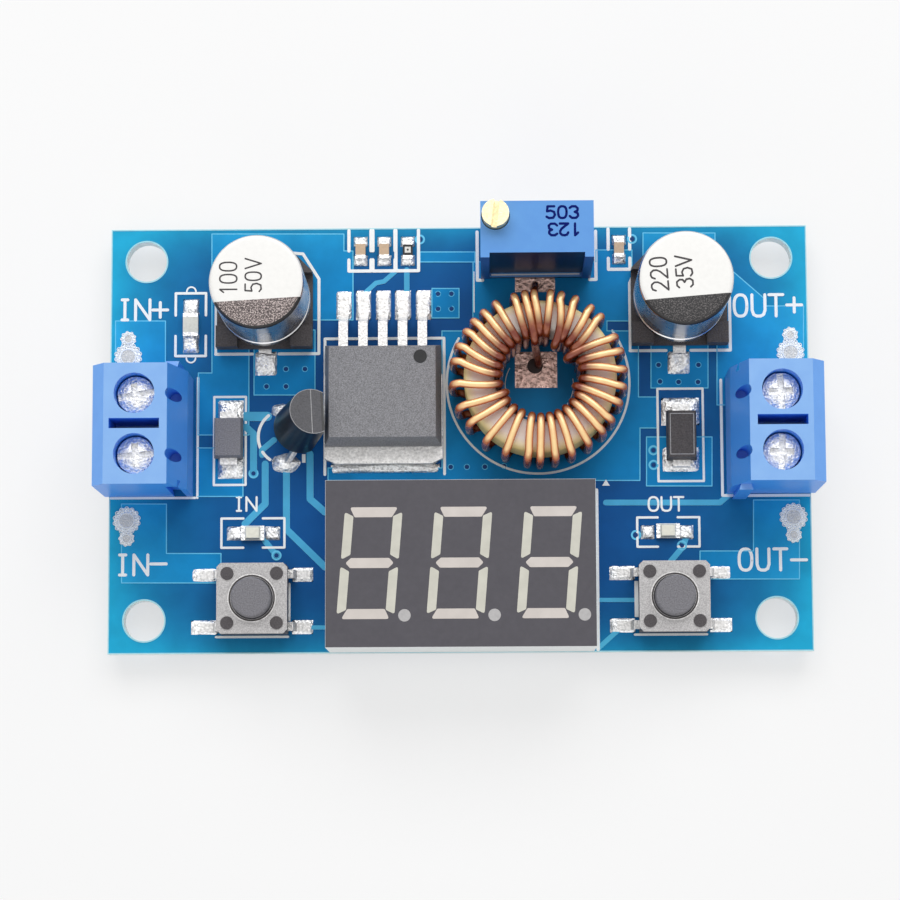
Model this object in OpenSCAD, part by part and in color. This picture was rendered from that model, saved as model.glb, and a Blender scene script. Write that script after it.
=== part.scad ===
// Step-down converter module with an LED voltmeter.
// The origin is the centre of the four mounting holes on the underside of the board.
// +Z points up through the fitted side; the wire terminals are at the two X ends and the
// voltmeter display is on the -Y edge. All lengths are in millimetres.

/* [Board] */
// Length of the circuit board, along X
board_length = 60.5; // [60:0.5:66]
// Width of the circuit board, along Y
board_width = 37; // [37:0.5:41]
// Thickness of the circuit board
board_thickness = 1.6; // [1.2:0.1:2]
// Diameter of the four mounting holes
mounting_hole_diameter = 3.5; // [2.8:0.1:3.8]
// Distance from the board's end to a mounting hole's centre
mounting_hole_inset_x = 3.1; // [2.7:0.1:3.6]
// Distance from the board's long edge to a mounting hole's centre
mounting_hole_inset_y = 2.85; // [2.65:0.05:3.2]
// How far the through-hole pins stand out under the board
pin_protrusion = 1.6; // [1.3:0.1:2.2]

/* [Wire terminal blocks] */
// Distance between the two poles of a terminal block
terminal_pitch = 5.08; // [5:0.02:5.2]
// Depth of a terminal block, from its wire face to its inner face
terminal_depth = 7.6; // [7.4:0.1:8]
// Height of a terminal block above the board
terminal_height = 10.1; // [9.8:0.1:11]
// How far the wire face stands past the end of the board
terminal_overhang = 0.35; // [0:0.05:0.6]
// Diameter of the recess that each clamp screw sits in
screw_recess_diameter = 3.4; // [3.3:0.1:3.7]
// Diameter of a clamp screw's head
screw_head_diameter = 3.1; // [2.8:0.1:3.2]
// Height of a clamp screw's head
screw_head_height = 1.3; // [1:0.1:1.5]
// Diameter of a clamp screw's thread
screw_thread_diameter = 2.4; // [2:0.1:2.5]
// Pitch of the clamp screw's thread
screw_thread_pitch = 0.5; // [0.4:0.05:0.5]
// Length of a rising clamp cage, along the wire
cage_length = 4; // [3.6:0.1:4.3]
// Width of a rising clamp cage
cage_width = 3.6; // [3.4:0.1:3.7]
// Height of a rising clamp cage
cage_height = 4.2; // [4:0.1:4.4]

/* [Electrolytic capacitors] */
// Diameter of a capacitor can
can_diameter = 8; // [7.6:0.1:8.2]
// Height of a capacitor can's top above the board
can_top_height = 10.3; // [8:0.1:12]
// Side of a capacitor's square base
can_base_side = 8.3; // [8.25:0.05:8.8]

/* [Regulator] */
// Width of the regulator's case
regulator_width = 10; // [9.4:0.1:10.1]
// Length of the regulator's case, from its leads to its tab
regulator_length = 8.7; // [8.2:0.1:9]
// Height of the regulator's case
regulator_height = 4.4; // [4:0.1:4.8]
// Distance between the regulator's leads
regulator_lead_pitch = 1.7; // [1.5:0.05:1.8]
// Width of each regulator lead
regulator_lead_width = 0.8; // [0.6:0.05:0.9]
// Thickness of the regulator's heat tab
regulator_tab_thickness = 1.3; // [1:0.1:1.5]

/* [Inductor] */
// Outer diameter of the ring core
core_outer_diameter = 13; // [12.6:0.1:13.2]
// Inner diameter of the ring core
core_inner_diameter = 7.8; // [7.7:0.1:8.4]
// Height of the ring core
core_height = 4.9; // [4:0.1:5.6]
// Diameter of the enamelled wire
wire_diameter = 0.65; // [0.5:0.05:0.65]
// Number of turns around the core
winding_turns = 31; // [22:1:31]

/* [Trimmer] */
// Length of the trimmer's body, along X
trimmer_length = 9.5; // [9.3:0.1:9.8]
// Width of the trimmer's body, along Y
trimmer_width = 4.8; // [4.6:0.1:5]
// Height of the trimmer's body above the board
trimmer_height = 10; // [9:0.1:10.4]
// Diameter of the trimmer's adjusting screw
trimmer_screw_diameter = 2.3; // [2:0.1:2.4]
// How far the adjusting screw stands above the body
trimmer_screw_projection = 1.4; // [1:0.1:1.8]

/* [Display] */
// Length of the display, along X
display_length = 22.6; // [22.5:0.1:23]
// Width of the display, along Y
display_width = 14; // [13.8:0.1:14.2]
// Height of the display's face above the board
display_height = 7.6; // [7:0.1:8.4]
// Distance between the digits' centres
digit_pitch = 7.5; // [7.4:0.05:7.5]
// Height of each digit
digit_height = 9.35; // [8.6:0.05:9.4]
// Width of a digit's segments
segment_width = 0.84; // [0.6:0.02:0.88]
// Lean of the digits, in degrees
digit_slant = 4.6; // [0:0.2:6]

/* [Tact switches] */
// Side of a switch's square body
switch_side = 6; // [5.8:0.1:6.2]
// Height of a switch's steel cover above the board
switch_cover_height = 3.65; // [3.4:0.05:3.8]
// Height of a switch's button above the board, at rest
switch_button_height = 5; // [4.5:0.1:7]
// Diameter of a switch's button
switch_button_diameter = 3.4; // [3:0.1:3.5]
// Travel of a switch's button
switch_travel = 0.25; // [0.15:0.05:0.25]

/* [Small parts] */
// Length of the catch diode's case
catch_diode_length = 4.3; // [4:0.1:4.6]
// Width of the catch diode's case
catch_diode_width = 2.6; // [2.4:0.1:2.8]
// Diameter of the small regulator's round side
transistor_diameter = 4.5; // [4.2:0.1:4.7]
// Height of the small regulator's moulded body
transistor_height = 4.6; // [4.2:0.1:5]
// Lean of the small regulator towards the big one, in degrees
transistor_lean = 18; // [14:0.5:19]

/* [Hidden] */
$fn = 64;

// Margin by which a cutting solid passes the face it cuts
cut = 1;

full_turn = 360;

// A place between two others, at a share of the way from the first
function between(from, to, share) = from + share * (to - from);

// Mounting holes
hole_x = board_length / 2 - mounting_hole_inset_x;
hole_y = board_width / 2 - mounting_hole_inset_y;

// Pins that pass through the board: square ones have a side, round ones a diameter
pin_hole_clearance = 0.15;
small_pin = 0.5;
solder_collar = 0.45;
solder_joint_height = 1;
solder_joint_tip = 0.12;

// Terminal blocks
terminal_y = 0.15;
terminal_length = 2 * terminal_pitch;
terminal_inner_x = board_length / 2 + terminal_overhang - terminal_depth;
terminal_top_inner = 1.2;
terminal_slope_foot = 5.2;
terminal_chamfer = 1.1;
terminal_chamfer_drop = 1.5;
terminal_floor = 0.9;
terminal_web = 0.8;
running_gap = 0.1;
thread_gap = 0.05;
screw_setback = 3.65;
screw_turns = 3;
screw_dome = 0.25;
screw_slot_width = 0.55;
screw_slot_depth = 0.6;
screw_cross_length = 2;
screw_tip_gap = 0.2;
clamp_travel = screw_turns * screw_thread_pitch;
cage_bottom = terminal_floor + running_gap;
cage_floor = 0.6;
cage_roof = 0.9;
cage_wall = 0.6;
cavity_top = cage_bottom + cage_height + clamp_travel + running_gap;
cavity_depth = screw_setback + cage_length / 2 + 2 * running_gap;
screw_seat = cavity_top + terminal_web;
contact_thickness = 0.5;
contact_leg_thickness = 0.6;
contact_leg_width = 1;
contact_roof_gap = 0.4;
contact_side_gap = 0.15;
contact_top = cage_bottom + cage_height - cage_roof - contact_roof_gap;
contact_plate_width = cage_width - 2 * (cage_wall + contact_side_gap);
contact_leg_x = cavity_depth + running_gap;
test_hole_diameter = 1.05;
test_hole_inset = 0.85;
divider_slot = [4.2, 0.85, 5];
divider_slot_x = 1.55;
rib_depth = 0.5;
rib_root = 0.85;
rib_tip = 1.15;
rib_height = 7.5;
rib_inset = 1.05;

// Wire pads beside the terminal blocks, as [distance from the board's end, distance from
// the block's centre line, hole diameter, solder diameter]
wire_pads = [[1.55, 7.15, 1.2, 2.1], [1.55, 8.7, 0.7, 1.3]];
wire_pad_dome = 0.25;

// Electrolytic capacitors
can_lead_thickness = 0.2;
can_lead_width = 1.1;
can_lead_reach = 0.9;
can_lead_root = 0.6;
can_base_plate = 0.5;
can_base_height = 1.7;
can_base_chamfer = 1.7;
can_post_gap = 4.6;
can_seat_clearance = 0.05;
can_shoulder = 0.45;
can_groove_height = 1.9;
can_groove_radius = 0.35;
can_groove_depth = 0.22;

// Regulator, with its case centred on this X and its lead face at this Y
regulator_x = -6.5;
regulator_lead_face = 7.85;
regulator_bevel = 0.45;
regulator_parting = 1.9;
regulator_tab_width = regulator_width + 0.15;
regulator_tab_reach = 1.45;
regulator_tab_corner = 0.9;
regulator_tab_hidden = 6.3;
regulator_lead_thickness = 0.5;
regulator_lead_exit = 2.3;
regulator_lead_shoulder = 1.7;
regulator_lead_drop = 2.7;
regulator_lead_foot = 4.6;
regulator_lead_root = 0.8;
regulator_mark_diameter = 1.2;
regulator_mark_depth = 0.08;
regulator_mark_inset = [1.75, 1.35];

// Inductor
inductor_at = [6.95, 4.6];
core_edge = 0.5;
winding_gap = 0.05;
winding_bulge = 0.28;
winding_corner = 0.6;
winding_start = 92;
winding_sides = 8;
winding_bottom = winding_gap + wire_diameter / 2;
core_bottom = winding_bottom + wire_diameter / 2 + winding_gap;
winding_top = core_bottom + core_height + winding_gap + wire_diameter / 2;
winding_outer = core_outer_diameter / 2 + winding_bulge + wire_diameter / 2;
winding_inner = core_inner_diameter / 2 - winding_gap - wire_diameter / 2;
winding_arc = 350;
winding_step = winding_arc / winding_turns;
outer_lead_reach = winding_outer + 1.6;
inner_lead_radius = 1.75;
lead_slack = 0.35;
lead_bend = [0.5, 1.05, 1.7, 2.45];

// Trimmer
trimmer_overhang = 0.25;
trimmer_at = [6.7, board_width / 2 + trimmer_overhang - trimmer_width / 2];
trimmer_screw_inset = 1.27;
trimmer_screw_depth = 2;
trimmer_screw_slot = [0.5, 0.6];
trimmer_screw_gap = 0.05;
trimmer_panel_depth = 0.4;
trimmer_post = 0.75;
trimmer_foot = 0.4;
trimmer_pin_pitch = 2.54;

// Display
display_at = [0.15, 0.05 - board_width / 2 + display_width / 2];
display_face_thickness = 0.2;
display_rim = 0.12;
display_skirt = 0.6;
segment_depth = 1.6;
segment_corner = 0.4;
segment_waist = 0.28;
digit_width = 4.83;
digit_row_shift = [-0.1, 0.03];
decimal_point_diameter = 1.08;
decimal_point_at = [2.9, -4.38];
display_pin_pitch = 2.54;
display_pin_rows = 10.16;
display_pins_a_row = 6;
display_missing_pin = 5;

// Tact switches
switch_inset_y = 4.5;
left_switch_at = [
  between(display_at.x - display_length / 2, -hole_x, 0.403125), switch_inset_y - board_width / 2
];
right_switch_at = [
  between(display_at.x + display_length / 2, hole_x, 0.42994), switch_inset_y - board_width / 2
];
switch_standoff = 0.1;
switch_cover_thickness = 0.25;
switch_cover_corner = 0.35;
switch_cover_gap = 0.12;
switch_rivet_offset = 2.1;
switch_rivet_diameter = 1.1;
switch_rivet_head = 0.15;
switch_well_diameter = 4.9;
switch_well_floor = 1;
switch_collar_diameter = 4.4;
switch_collar_thickness = 0.7;
switch_nub_diameter = 1.4;
switch_dome_diameter = 4.3;
switch_dome_rise = 0.6;
switch_dome_thickness = 0.1;
switch_nub_gap = 0.05;
switch_button_edge = 0.2;
switch_slack = 0.05;
switch_terminal_offset = 2.25;
switch_terminal_width = 0.75;
switch_terminal_thickness = 0.2;
switch_terminal_span = 9.5;
switch_terminal_exit = 0.9;
switch_terminal_root = 0.5;
switch_terminal_bend = 0.5;

// Small regulator with three legs, leaning on its way to the big one
transistor_clearance = 3.5;
transistor_at = [regulator_x - regulator_width / 2 - transistor_clearance, 0.2];
transistor_flat = 1;
transistor_draft = 0.25;
transistor_leg = 0.45;
transistor_leg_spread = 2.4;
transistor_leg_pitch = 1.27;
transistor_foot = [1.25, 0.55, 1.5];
transistor_side_lean = 11;
transistor_leg_root = 0.5;

// The rows beside the terminal blocks and mounting holes, which share out the room that the
// middle parts leave
transistor_back = transistor_at.x + transistor_foot.x - transistor_diameter / 2;
input_capacitor_inset = 6.5;
output_capacitor_inset = 6.4;
input_chip_inset = 8.5;
input_capacitor_at = [
  between(regulator_x - regulator_width / 2, -hole_x, 0.33866),
  board_width / 2 - input_capacitor_inset
];
output_capacitor_at = [
  between(inductor_at.x, hole_x, 0.60149), board_width / 2 - output_capacitor_inset
];
input_diode_at = [between(transistor_back, -terminal_inner_x, 0.55), 0];
catch_diode_at = [between(inductor_at.x, terminal_inner_x, 0.757009), 0];
input_chip_at = [
  between(input_capacitor_at.x - can_base_side / 2, -board_length / 2, 0.24731),
  board_width / 2 - input_chip_inset
];

// Diodes and chip parts
input_diode_size = [2.5, 3.5, 2];
catch_diode_height = 2.2;
diode_bevel = 0.15;
diode_parting = 1;
diode_standoff = 0.05;
diode_terminal_thickness = 0.2;
diode_terminal_reach = 0.55;
diode_terminal_width = 1.5;
diode_terminal_foot = 1;
led_positions = [[left_switch_at.x - 0.2, 5.85], [right_switch_at.x - 0.3, 5.85]];
led_size = [2, 1.25, 0.35];
led_lens_size = [1.3, 1.1, 0.45];
led_lens_bevel = 0.1;
north_row_inset = 2;
chip_end = 0.32;
chip_size_small = [0.85, 1.6, 0.8];
chip_size_flat = [0.85, 1.6, 0.45];
chip_size_large = [1.3, 2, 0.7];
trimmer_side = trimmer_at.x + trimmer_length / 2;
capacitor_chips = [
  -8.5, -6.45, between(trimmer_side, output_capacitor_at.x - can_base_side / 2, 0.714286)
];
resistor_chip = -4.4;
underside_chip_columns = [-9.6, -7.6, 7.9, 9.9];
underside_chip_rows = [-2.2, 2.2];

// Voltmeter chip on the underside, between the display's pins
meter_chip_size = [6.5, 4.4, 1];
meter_chip_standoff = 0.1;
meter_lead_pitch = 0.65;
meter_leads_a_side = 10;
meter_lead_width = 0.25;
meter_lead_thickness = 0.15;
meter_lead_reach = 1;
meter_lead_height = 0.5;
meter_lead_root = 0.3;

copper = "peru";
tin = "gainsboro";
black = [0.12, 0.12, 0.13];
terminal_blue = [0.33, 0.55, 0.9];

// ---------- shared shapes ----------

module on_board() translate([0, 0, board_thickness]) children();

module under_board() mirror([0, 0, 1]) children();

// A straight prism along Y whose outline is given in X and Z
module side_profile(outline, length) {
  rotate([90, 0, 0]) linear_extrude(length, center = true) polygon(outline);
}

// A block with its lowest face on z = 0
module block(size) translate([-size.x / 2, -size.y / 2, 0]) cube(size);

// A moulded case: straight below its parting line, drawn in above it by the bevel
module moulded_case(size, parting, bevel, under_bevel) {
  intersection() {
    side_profile(case_outline(size.x, size.z, parting, bevel, under_bevel), size.y);
    rotate(90) side_profile(case_outline(size.y, size.z, parting, bevel, under_bevel), size.x);
  }
}

function case_outline(width, height, parting, bevel, under_bevel) = [
  [under_bevel - width / 2, 0], [-width / 2, parting], [bevel - width / 2, height],
  [width / 2 - bevel, height], [width / 2, parting], [width / 2 - under_bevel, 0]
];

// A round bar with a rounded top edge
module rounded_disc(diameter, height, edge) {
  rotate_extrude() {
    square([diameter / 2 - edge, height]);
    square([diameter / 2, height - edge]);
    translate([diameter / 2 - edge, height - edge]) circle(edge);
  }
}

// One bent strip lead, drawn along +Y from its root: flat, down, and flat again on the board
module bent_lead(width, root, exit, thickness, shoulder, drop, foot) {
  rotate([90, 0, 90]) linear_extrude(width, center = true) polygon([
    [-root, exit], [shoulder, exit], [drop - thickness / 2, 0], [foot, 0],
    [foot, thickness], [drop + thickness / 2, thickness],
    [shoulder + thickness / 2, exit + thickness], [-root, exit + thickness]
  ]);
}

// A chip part's ceramic middle, between its metal ends
module chip_body(size) block([size.x, size.y - 2 * chip_end, size.z]);

module chip_ends(size) {
  for (side = [-1, 1])
    translate([0, side * (size.y - chip_end) / 2, 0]) block([size.x, chip_end, size.z]);
}

// ---------- pins and solder ----------

display_pin_at = [
  for (row = [-1, 1], i = [0 : display_pins_a_row - 1])
    if (row < 0 || i != display_missing_pin)
      [display_at.x + (i - (display_pins_a_row - 1) / 2) * display_pin_pitch,
       display_at.y + row * display_pin_rows / 2]
];
trimmer_pin_at = [
  for (i = [-1 : 1]) [trimmer_at.x + i * trimmer_pin_pitch, trimmer_at.y]
];
transistor_pin_at = [
  for (i = [-1 : 1]) [transistor_at.x, transistor_at.y + i * transistor_leg_spread]
];
inductor_pin_at = [
  for (r = [outer_lead_reach, inner_lead_radius])
    inductor_at + r * [cos(winding_start), sin(winding_start)]
];
contact_pin_at = [
  for (end = [-1, 1], pole = [-1, 1])
    [end * (board_length / 2 + terminal_overhang - contact_leg_x - contact_leg_thickness / 2),
     terminal_y + pole * terminal_pitch / 2]
];

// Each pin as [place, size across, size along, round]
board_pins = [
  for (p = display_pin_at) [p, small_pin, small_pin, false],
  for (p = trimmer_pin_at) [p, small_pin, small_pin, true],
  for (p = transistor_pin_at) [p, transistor_leg, transistor_leg, false],
  for (p = inductor_pin_at) [p, wire_diameter, wire_diameter, true],
  for (p = contact_pin_at) [p, contact_leg_thickness, contact_leg_width, false]
];

// The pin's section, made larger by gap on every side
module pin_section(pin, gap) {
  if (pin[3]) circle(d = pin[1] + 2 * gap);
  else square([pin[1] + 2 * gap, pin[2] + 2 * gap], center = true);
}

module pin(pin, bottom, top) {
  translate([pin[0].x, pin[0].y, bottom]) linear_extrude(top - bottom) pin_section(pin, 0);
}

function pin_reach(pin) = norm([pin[1], pin[3] ? 0 : pin[2]]) / 2;

module pin_hole(pin) {
  translate([pin[0].x, pin[0].y, -cut])
    cylinder(r = pin_reach(pin) + pin_hole_clearance, h = board_thickness + 2 * cut);
}

module underside_solder() {
  color("silver") for (p = board_pins) difference() {
    translate([p[0].x, p[0].y, -solder_joint_height]) cylinder(
      r1 = pin_reach(p) + solder_joint_tip,
      r2 = pin_reach(p) + solder_collar, h = solder_joint_height);
    translate([p[0].x, p[0].y, -solder_joint_height - cut])
      linear_extrude(solder_joint_height + 2 * cut) pin_section(p, 0);
  }
}

// Places its children at the eight wire pads, giving each its pad as $pad
module at_wire_pads() {
  for ($pad = wire_pads, end = [-1, 1], side = [-1, 1])
    translate([end * (board_length / 2 - $pad[0]), terminal_y + side * $pad[1], 0]) children();
}

// A wire pad's hole filled with solder, which stands in a low dome on both faces
module wire_pad_solder() {
  color("silver") at_wire_pads() {
    cylinder(d = $pad[2], h = board_thickness);
    on_board() solder_dome($pad[3] / 2);
    under_board() solder_dome($pad[3] / 2);
  }
}

module solder_dome(radius) {
  ball = (radius * radius + wire_pad_dome * wire_pad_dome) / (2 * wire_pad_dome);
  intersection() {
    cylinder(r = radius, h = wire_pad_dome);
    translate([0, 0, wire_pad_dome - ball]) sphere(ball);
  }
}

// ---------- board ----------

module circuit_board() {
  color("royalblue") difference() {
    block([board_length, board_width, board_thickness]);
    for (x = [-hole_x, hole_x], y = [-hole_y, hole_y])
      translate([x, y, -cut]) cylinder(d = mounting_hole_diameter, h = board_thickness + 2 * cut);
    for (p = board_pins) pin_hole(p);
    at_wire_pads()
      translate([0, 0, -cut]) cylinder(d = $pad[2], h = board_thickness + 2 * cut);
  }
}

// ---------- wire terminal blocks ----------

// Puts a block, drawn with its wire face on x = 0 facing -X, at the input or output end
module at_terminal(end) {
  on_board() translate([end * (board_length / 2 + terminal_overhang), terminal_y, 0])
    rotate(end < 0 ? 0 : 180) children();
}

// The block's two poles, in the block's own frame
module at_poles() {
  for (pole = [-1, 1]) translate([screw_setback, pole * terminal_pitch / 2, 0]) children();
}

module terminal_housing() {
  color(terminal_blue) difference() {
    union() {
      side_profile([
        [0, 0], [0, terminal_height - terminal_chamfer_drop],
        [terminal_chamfer, terminal_height],
        [terminal_depth - terminal_top_inner, terminal_height],
        [terminal_depth, terminal_slope_foot], [terminal_depth, 0]
      ], terminal_length);
      translate([terminal_depth - rib_inset, terminal_length / 2, 0]) terminal_rib(0);
    }
    translate([terminal_depth - rib_inset, -terminal_length / 2, 0]) terminal_rib(running_gap);
    at_poles() {
      translate([0, 0, screw_seat]) cylinder(d = screw_recess_diameter, h = terminal_height);
      translate([0, 0, cavity_top - running_gap])
        cylinder(d = screw_thread_diameter + 2 * running_gap, h = terminal_height);
      clamp_cavity();
      contact_slot();
    }
    for (pole = [-1, 1])
      translate([terminal_depth - test_hole_inset, pole * terminal_pitch / 2,
                 terminal_slope_foot + test_hole_inset / 2])
        cylinder(d = test_hole_diameter, h = terminal_height);
    translate([divider_slot_x, -divider_slot.y / 2, terminal_height - divider_slot.z])
      cube([divider_slot.x, divider_slot.y, divider_slot.z + cut]);
  }
}

// The dovetail that joins blocks side by side; with a gap it is the groove that takes one
module terminal_rib(gap) {
  translate([0, 0, gap > 0 ? -cut : 0])
    linear_extrude(rib_height + (gap > 0 ? cut + gap : 0)) polygon([
      [-rib_root / 2 - gap, -cut * (gap > 0 ? 1 : 0)], [-rib_root / 2 - gap, 0],
      [-rib_tip / 2 - gap, rib_depth + gap], [rib_tip / 2 + gap, rib_depth + gap],
      [rib_root / 2 + gap, 0], [rib_root / 2 + gap, -cut * (gap > 0 ? 1 : 0)]
    ]);
}

// The room that a cage rises in, open at the wire face
module clamp_cavity() {
  width = cage_width + 2 * running_gap;
  translate([-screw_setback - cut, -width / 2, terminal_floor])
    cube([cavity_depth + cut, width, cavity_top - terminal_floor]);
}

// The slot behind the cage: narrow for the contact's leg, and wide where its plate passes
module contact_slot() {
  depth = running_gap + contact_leg_thickness;
  translate([contact_leg_x - screw_setback - running_gap, 0, 0]) {
    translate([-cut, -contact_leg_width / 2, -cut])
      cube([depth + cut, contact_leg_width, contact_top + cut]);
    translate([-cut, -contact_plate_width / 2, contact_top - contact_thickness])
      cube([depth + cut, contact_plate_width, contact_thickness]);
  }
}

module clamp_screw() {
  color(tin) {
    difference() {
      translate([0, 0, screw_seat]) intersection() {
        cylinder(d = screw_head_diameter, h = screw_head_height);
        translate([0, 0, screw_head_height - screw_dome_radius()]) sphere(screw_dome_radius());
      }
      for (bar = [[screw_head_diameter + cut, screw_slot_width],
                  [screw_slot_width, screw_cross_length]])
        translate([0, 0, screw_seat + screw_head_height - screw_slot_depth])
          block([bar.x, bar.y, screw_slot_depth + cut]);
    }
    translate([0, 0, contact_top + screw_tip_gap])
      cylinder(d = screw_thread_diameter, h = screw_seat - contact_top - screw_tip_gap);
  }
}

function screw_dome_radius() =
  (pow(screw_head_diameter / 2, 2) + screw_dome * screw_dome) / (2 * screw_dome);

module clamp_cage() {
  color("silver") translate([0, 0, cage_bottom]) difference() {
    block([cage_length, cage_width, cage_height]);
    translate([0, 0, cage_floor])
      block([cage_length + 2 * cut, cage_width - 2 * cage_wall,
             cage_height - cage_floor - cage_roof]);
    translate([0, 0, cage_height - cage_roof - cut])
      cylinder(d = screw_thread_diameter + 2 * thread_gap, h = cage_roof + 2 * cut);
  }
}

// A contact is a plate through the cage's window and a leg down through the board
module terminal_contacts(end) {
  color(tin) {
    at_terminal(end) at_poles() translate([0, 0, contact_top - contact_thickness]) {
      plate_end = contact_leg_x + contact_leg_thickness - screw_setback;
      translate([-cage_length / 2 + 2 * running_gap, -contact_plate_width / 2, 0])
        cube([plate_end + cage_length / 2 - 2 * running_gap, contact_plate_width,
              contact_thickness]);
    }
    for (p = board_pins) if (p[2] == contact_leg_width && sign(p[0].x) == end)
      pin(p, -pin_protrusion, board_thickness + contact_top - contact_thickness);
  }
}

module terminal_part(end, pole) {
  at_terminal(end)
    translate([screw_setback, pole * -end * terminal_pitch / 2, 0]) children();
}

module input_terminal_housing() at_terminal(-1) terminal_housing();
module output_terminal_housing() at_terminal(1) terminal_housing();
module input_terminal_contacts() terminal_contacts(-1);
module output_terminal_contacts() terminal_contacts(1);
module input_positive_screw() terminal_part(-1, 1) rotate(10) clamp_screw();
module input_negative_screw() terminal_part(-1, -1) rotate(5) clamp_screw();
module output_positive_screw() terminal_part(1, 1) rotate(93) clamp_screw();
module output_negative_screw() terminal_part(1, -1) rotate(88) clamp_screw();
module input_positive_cage() terminal_part(-1, 1) clamp_cage();
module input_negative_cage() terminal_part(-1, -1) clamp_cage();
module output_positive_cage() terminal_part(1, 1) clamp_cage();
module output_negative_cage() terminal_part(1, -1) clamp_cage();

// ---------- electrolytic capacitors ----------

module at_capacitor(place) on_board() translate([place.x, place.y, 0]) children();

can_seat = can_lead_thickness + can_base_plate;

module capacitor_can() {
  color("lightgray") translate([0, 0, can_seat]) difference() {
    rounded_disc(can_diameter, can_top_height - can_seat, can_shoulder);
    rotate_extrude()
      translate([can_diameter / 2 + can_groove_radius - can_groove_depth, can_groove_height])
        circle(can_groove_radius);
  }
}

// A square base with two cut corners on the positive side, and a post at each corner
module capacitor_base() {
  half = can_base_side / 2;
  color(black) translate([0, 0, can_lead_thickness]) difference() {
    linear_extrude(can_base_height) polygon([
      [-half, -half], [half, -half], [half, half - can_base_chamfer],
      [half - can_base_chamfer, half], [can_base_chamfer - half, half],
      [-half, half - can_base_chamfer]
    ]);
    translate([0, 0, can_base_plate]) {
      cylinder(d = can_diameter + 2 * can_seat_clearance, h = can_base_height);
      block([can_post_gap, can_base_side + cut, can_base_height]);
      block([can_base_side + cut, can_post_gap, can_base_height]);
    }
  }
}

module capacitor_leads() {
  color(tin) for (side = [-1, 1]) {
    length = can_base_side / 2 + can_lead_reach - can_lead_root;
    translate([0, side * (can_lead_root + length / 2), 0])
      block([can_lead_width, length, can_lead_thickness]);
  }
}

module input_capacitor_can() at_capacitor(input_capacitor_at) capacitor_can();
module input_capacitor_base() at_capacitor(input_capacitor_at) capacitor_base();
module input_capacitor_leads() at_capacitor(input_capacitor_at) capacitor_leads();
module output_capacitor_can() at_capacitor(output_capacitor_at) capacitor_can();
module output_capacitor_base() at_capacitor(output_capacitor_at) capacitor_base();
module output_capacitor_leads() at_capacitor(output_capacitor_at) capacitor_leads();

// ---------- regulator ----------

module at_regulator() on_board() translate([regulator_x, regulator_lead_face, 0]) children();

module regulator_tab_shape() {
  half = regulator_tab_width / 2;
  end = -regulator_length - regulator_tab_reach;
  color(tin) linear_extrude(regulator_tab_thickness) polygon([
    [-half, end + regulator_tab_hidden + regulator_tab_reach], [-half, end + regulator_tab_corner / 2],
    [regulator_tab_corner - half, end], [half - regulator_tab_corner, end],
    [half, end + regulator_tab_corner / 2], [half, end + regulator_tab_hidden + regulator_tab_reach]
  ]);
}

module regulator_lead_row() {
  color(tin) for (i = [-2 : 2]) translate([i * regulator_lead_pitch, 0, 0])
    bent_lead(regulator_lead_width, regulator_lead_root, regulator_lead_exit,
              regulator_lead_thickness, regulator_lead_shoulder, regulator_lead_drop,
              regulator_lead_foot);
}

module regulator_case() {
  color([0.32, 0.32, 0.33]) at_regulator() difference() {
    translate([0, -regulator_length / 2, 0])
      moulded_case([regulator_width, regulator_length, regulator_height],
                   regulator_parting, regulator_bevel, 0);
    regulator_tab_shape();
    regulator_lead_row();
    translate([regulator_width / 2 - regulator_mark_inset.x,
               -regulator_mark_inset.y, regulator_height - regulator_mark_depth])
      cylinder(d = regulator_mark_diameter, h = cut);
  }
}

module regulator_tab() at_regulator() regulator_tab_shape();
module regulator_leads() at_regulator() regulator_lead_row();

// ---------- inductor ----------

module inductor_core() {
  color([0.98, 0.92, 0.66]) on_board() translate([inductor_at.x, inductor_at.y, core_bottom])
    rotate_extrude() translate([core_inner_diameter / 2, 0])
      rounded_rectangle((core_outer_diameter - core_inner_diameter) / 2, core_height, core_edge);
}

module rounded_rectangle(width, height, edge) {
  translate([edge, 0]) square([width - 2 * edge, height]);
  translate([0, edge]) square([width, height - 2 * edge]);
  for (x = [edge, width - edge], y = [edge, height - edge]) translate([x, y]) circle(edge);
}

// One quarter bend of the wire as points of [radius, angle, height]
function bend(radius, height, turn, angle, steps = 2) = [
  for (i = [0 : steps]) let (a = turn + i * 90 / steps)
    [radius + winding_corner * cos(a), angle, height + winding_corner * sin(a)]
];

// A turn climbs the outer wall, crosses the top, and goes down the inner wall at one angle,
// then crosses underneath to the next turn's angle
function turn_points(i) =
  let (angle = winding_start - i * winding_step,
       inner = winding_inner + winding_corner,
       outer = winding_outer - winding_corner,
       low = winding_bottom + winding_corner,
       high = winding_top - winding_corner)
  concat(
    i == 0 ? [] : bend(outer, low, 270, angle),
    bend(outer, high, 0, angle),
    bend(inner, high, 90, angle),
    i == winding_turns - 1 ? [] : bend(inner, low, 180, angle)
  );

// The wire's two ends, each from its pin up through a slack bend to the core's wall
outer_lead = [
  [outer_lead_reach, winding_start, -board_thickness - pin_protrusion],
  [outer_lead_reach, winding_start, 0],
  [outer_lead_reach, winding_start, lead_bend[0]],
  [outer_lead_reach - lead_slack, winding_start, lead_bend[1]],
  [winding_outer + lead_slack, winding_start, lead_bend[2]],
  [winding_outer, winding_start, lead_bend[3]]
];
last_turn = winding_start - (winding_turns - 1) * winding_step;
inner_lead = [
  [winding_inner, last_turn, lead_bend[3]],
  [winding_inner - lead_slack, last_turn, lead_bend[2]],
  [inner_lead_radius + lead_slack, last_turn, lead_bend[1]],
  [inner_lead_radius, winding_start - full_turn, lead_bend[0]],
  [inner_lead_radius, winding_start - full_turn, 0],
  [inner_lead_radius, winding_start - full_turn, -board_thickness - pin_protrusion]
];

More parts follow.
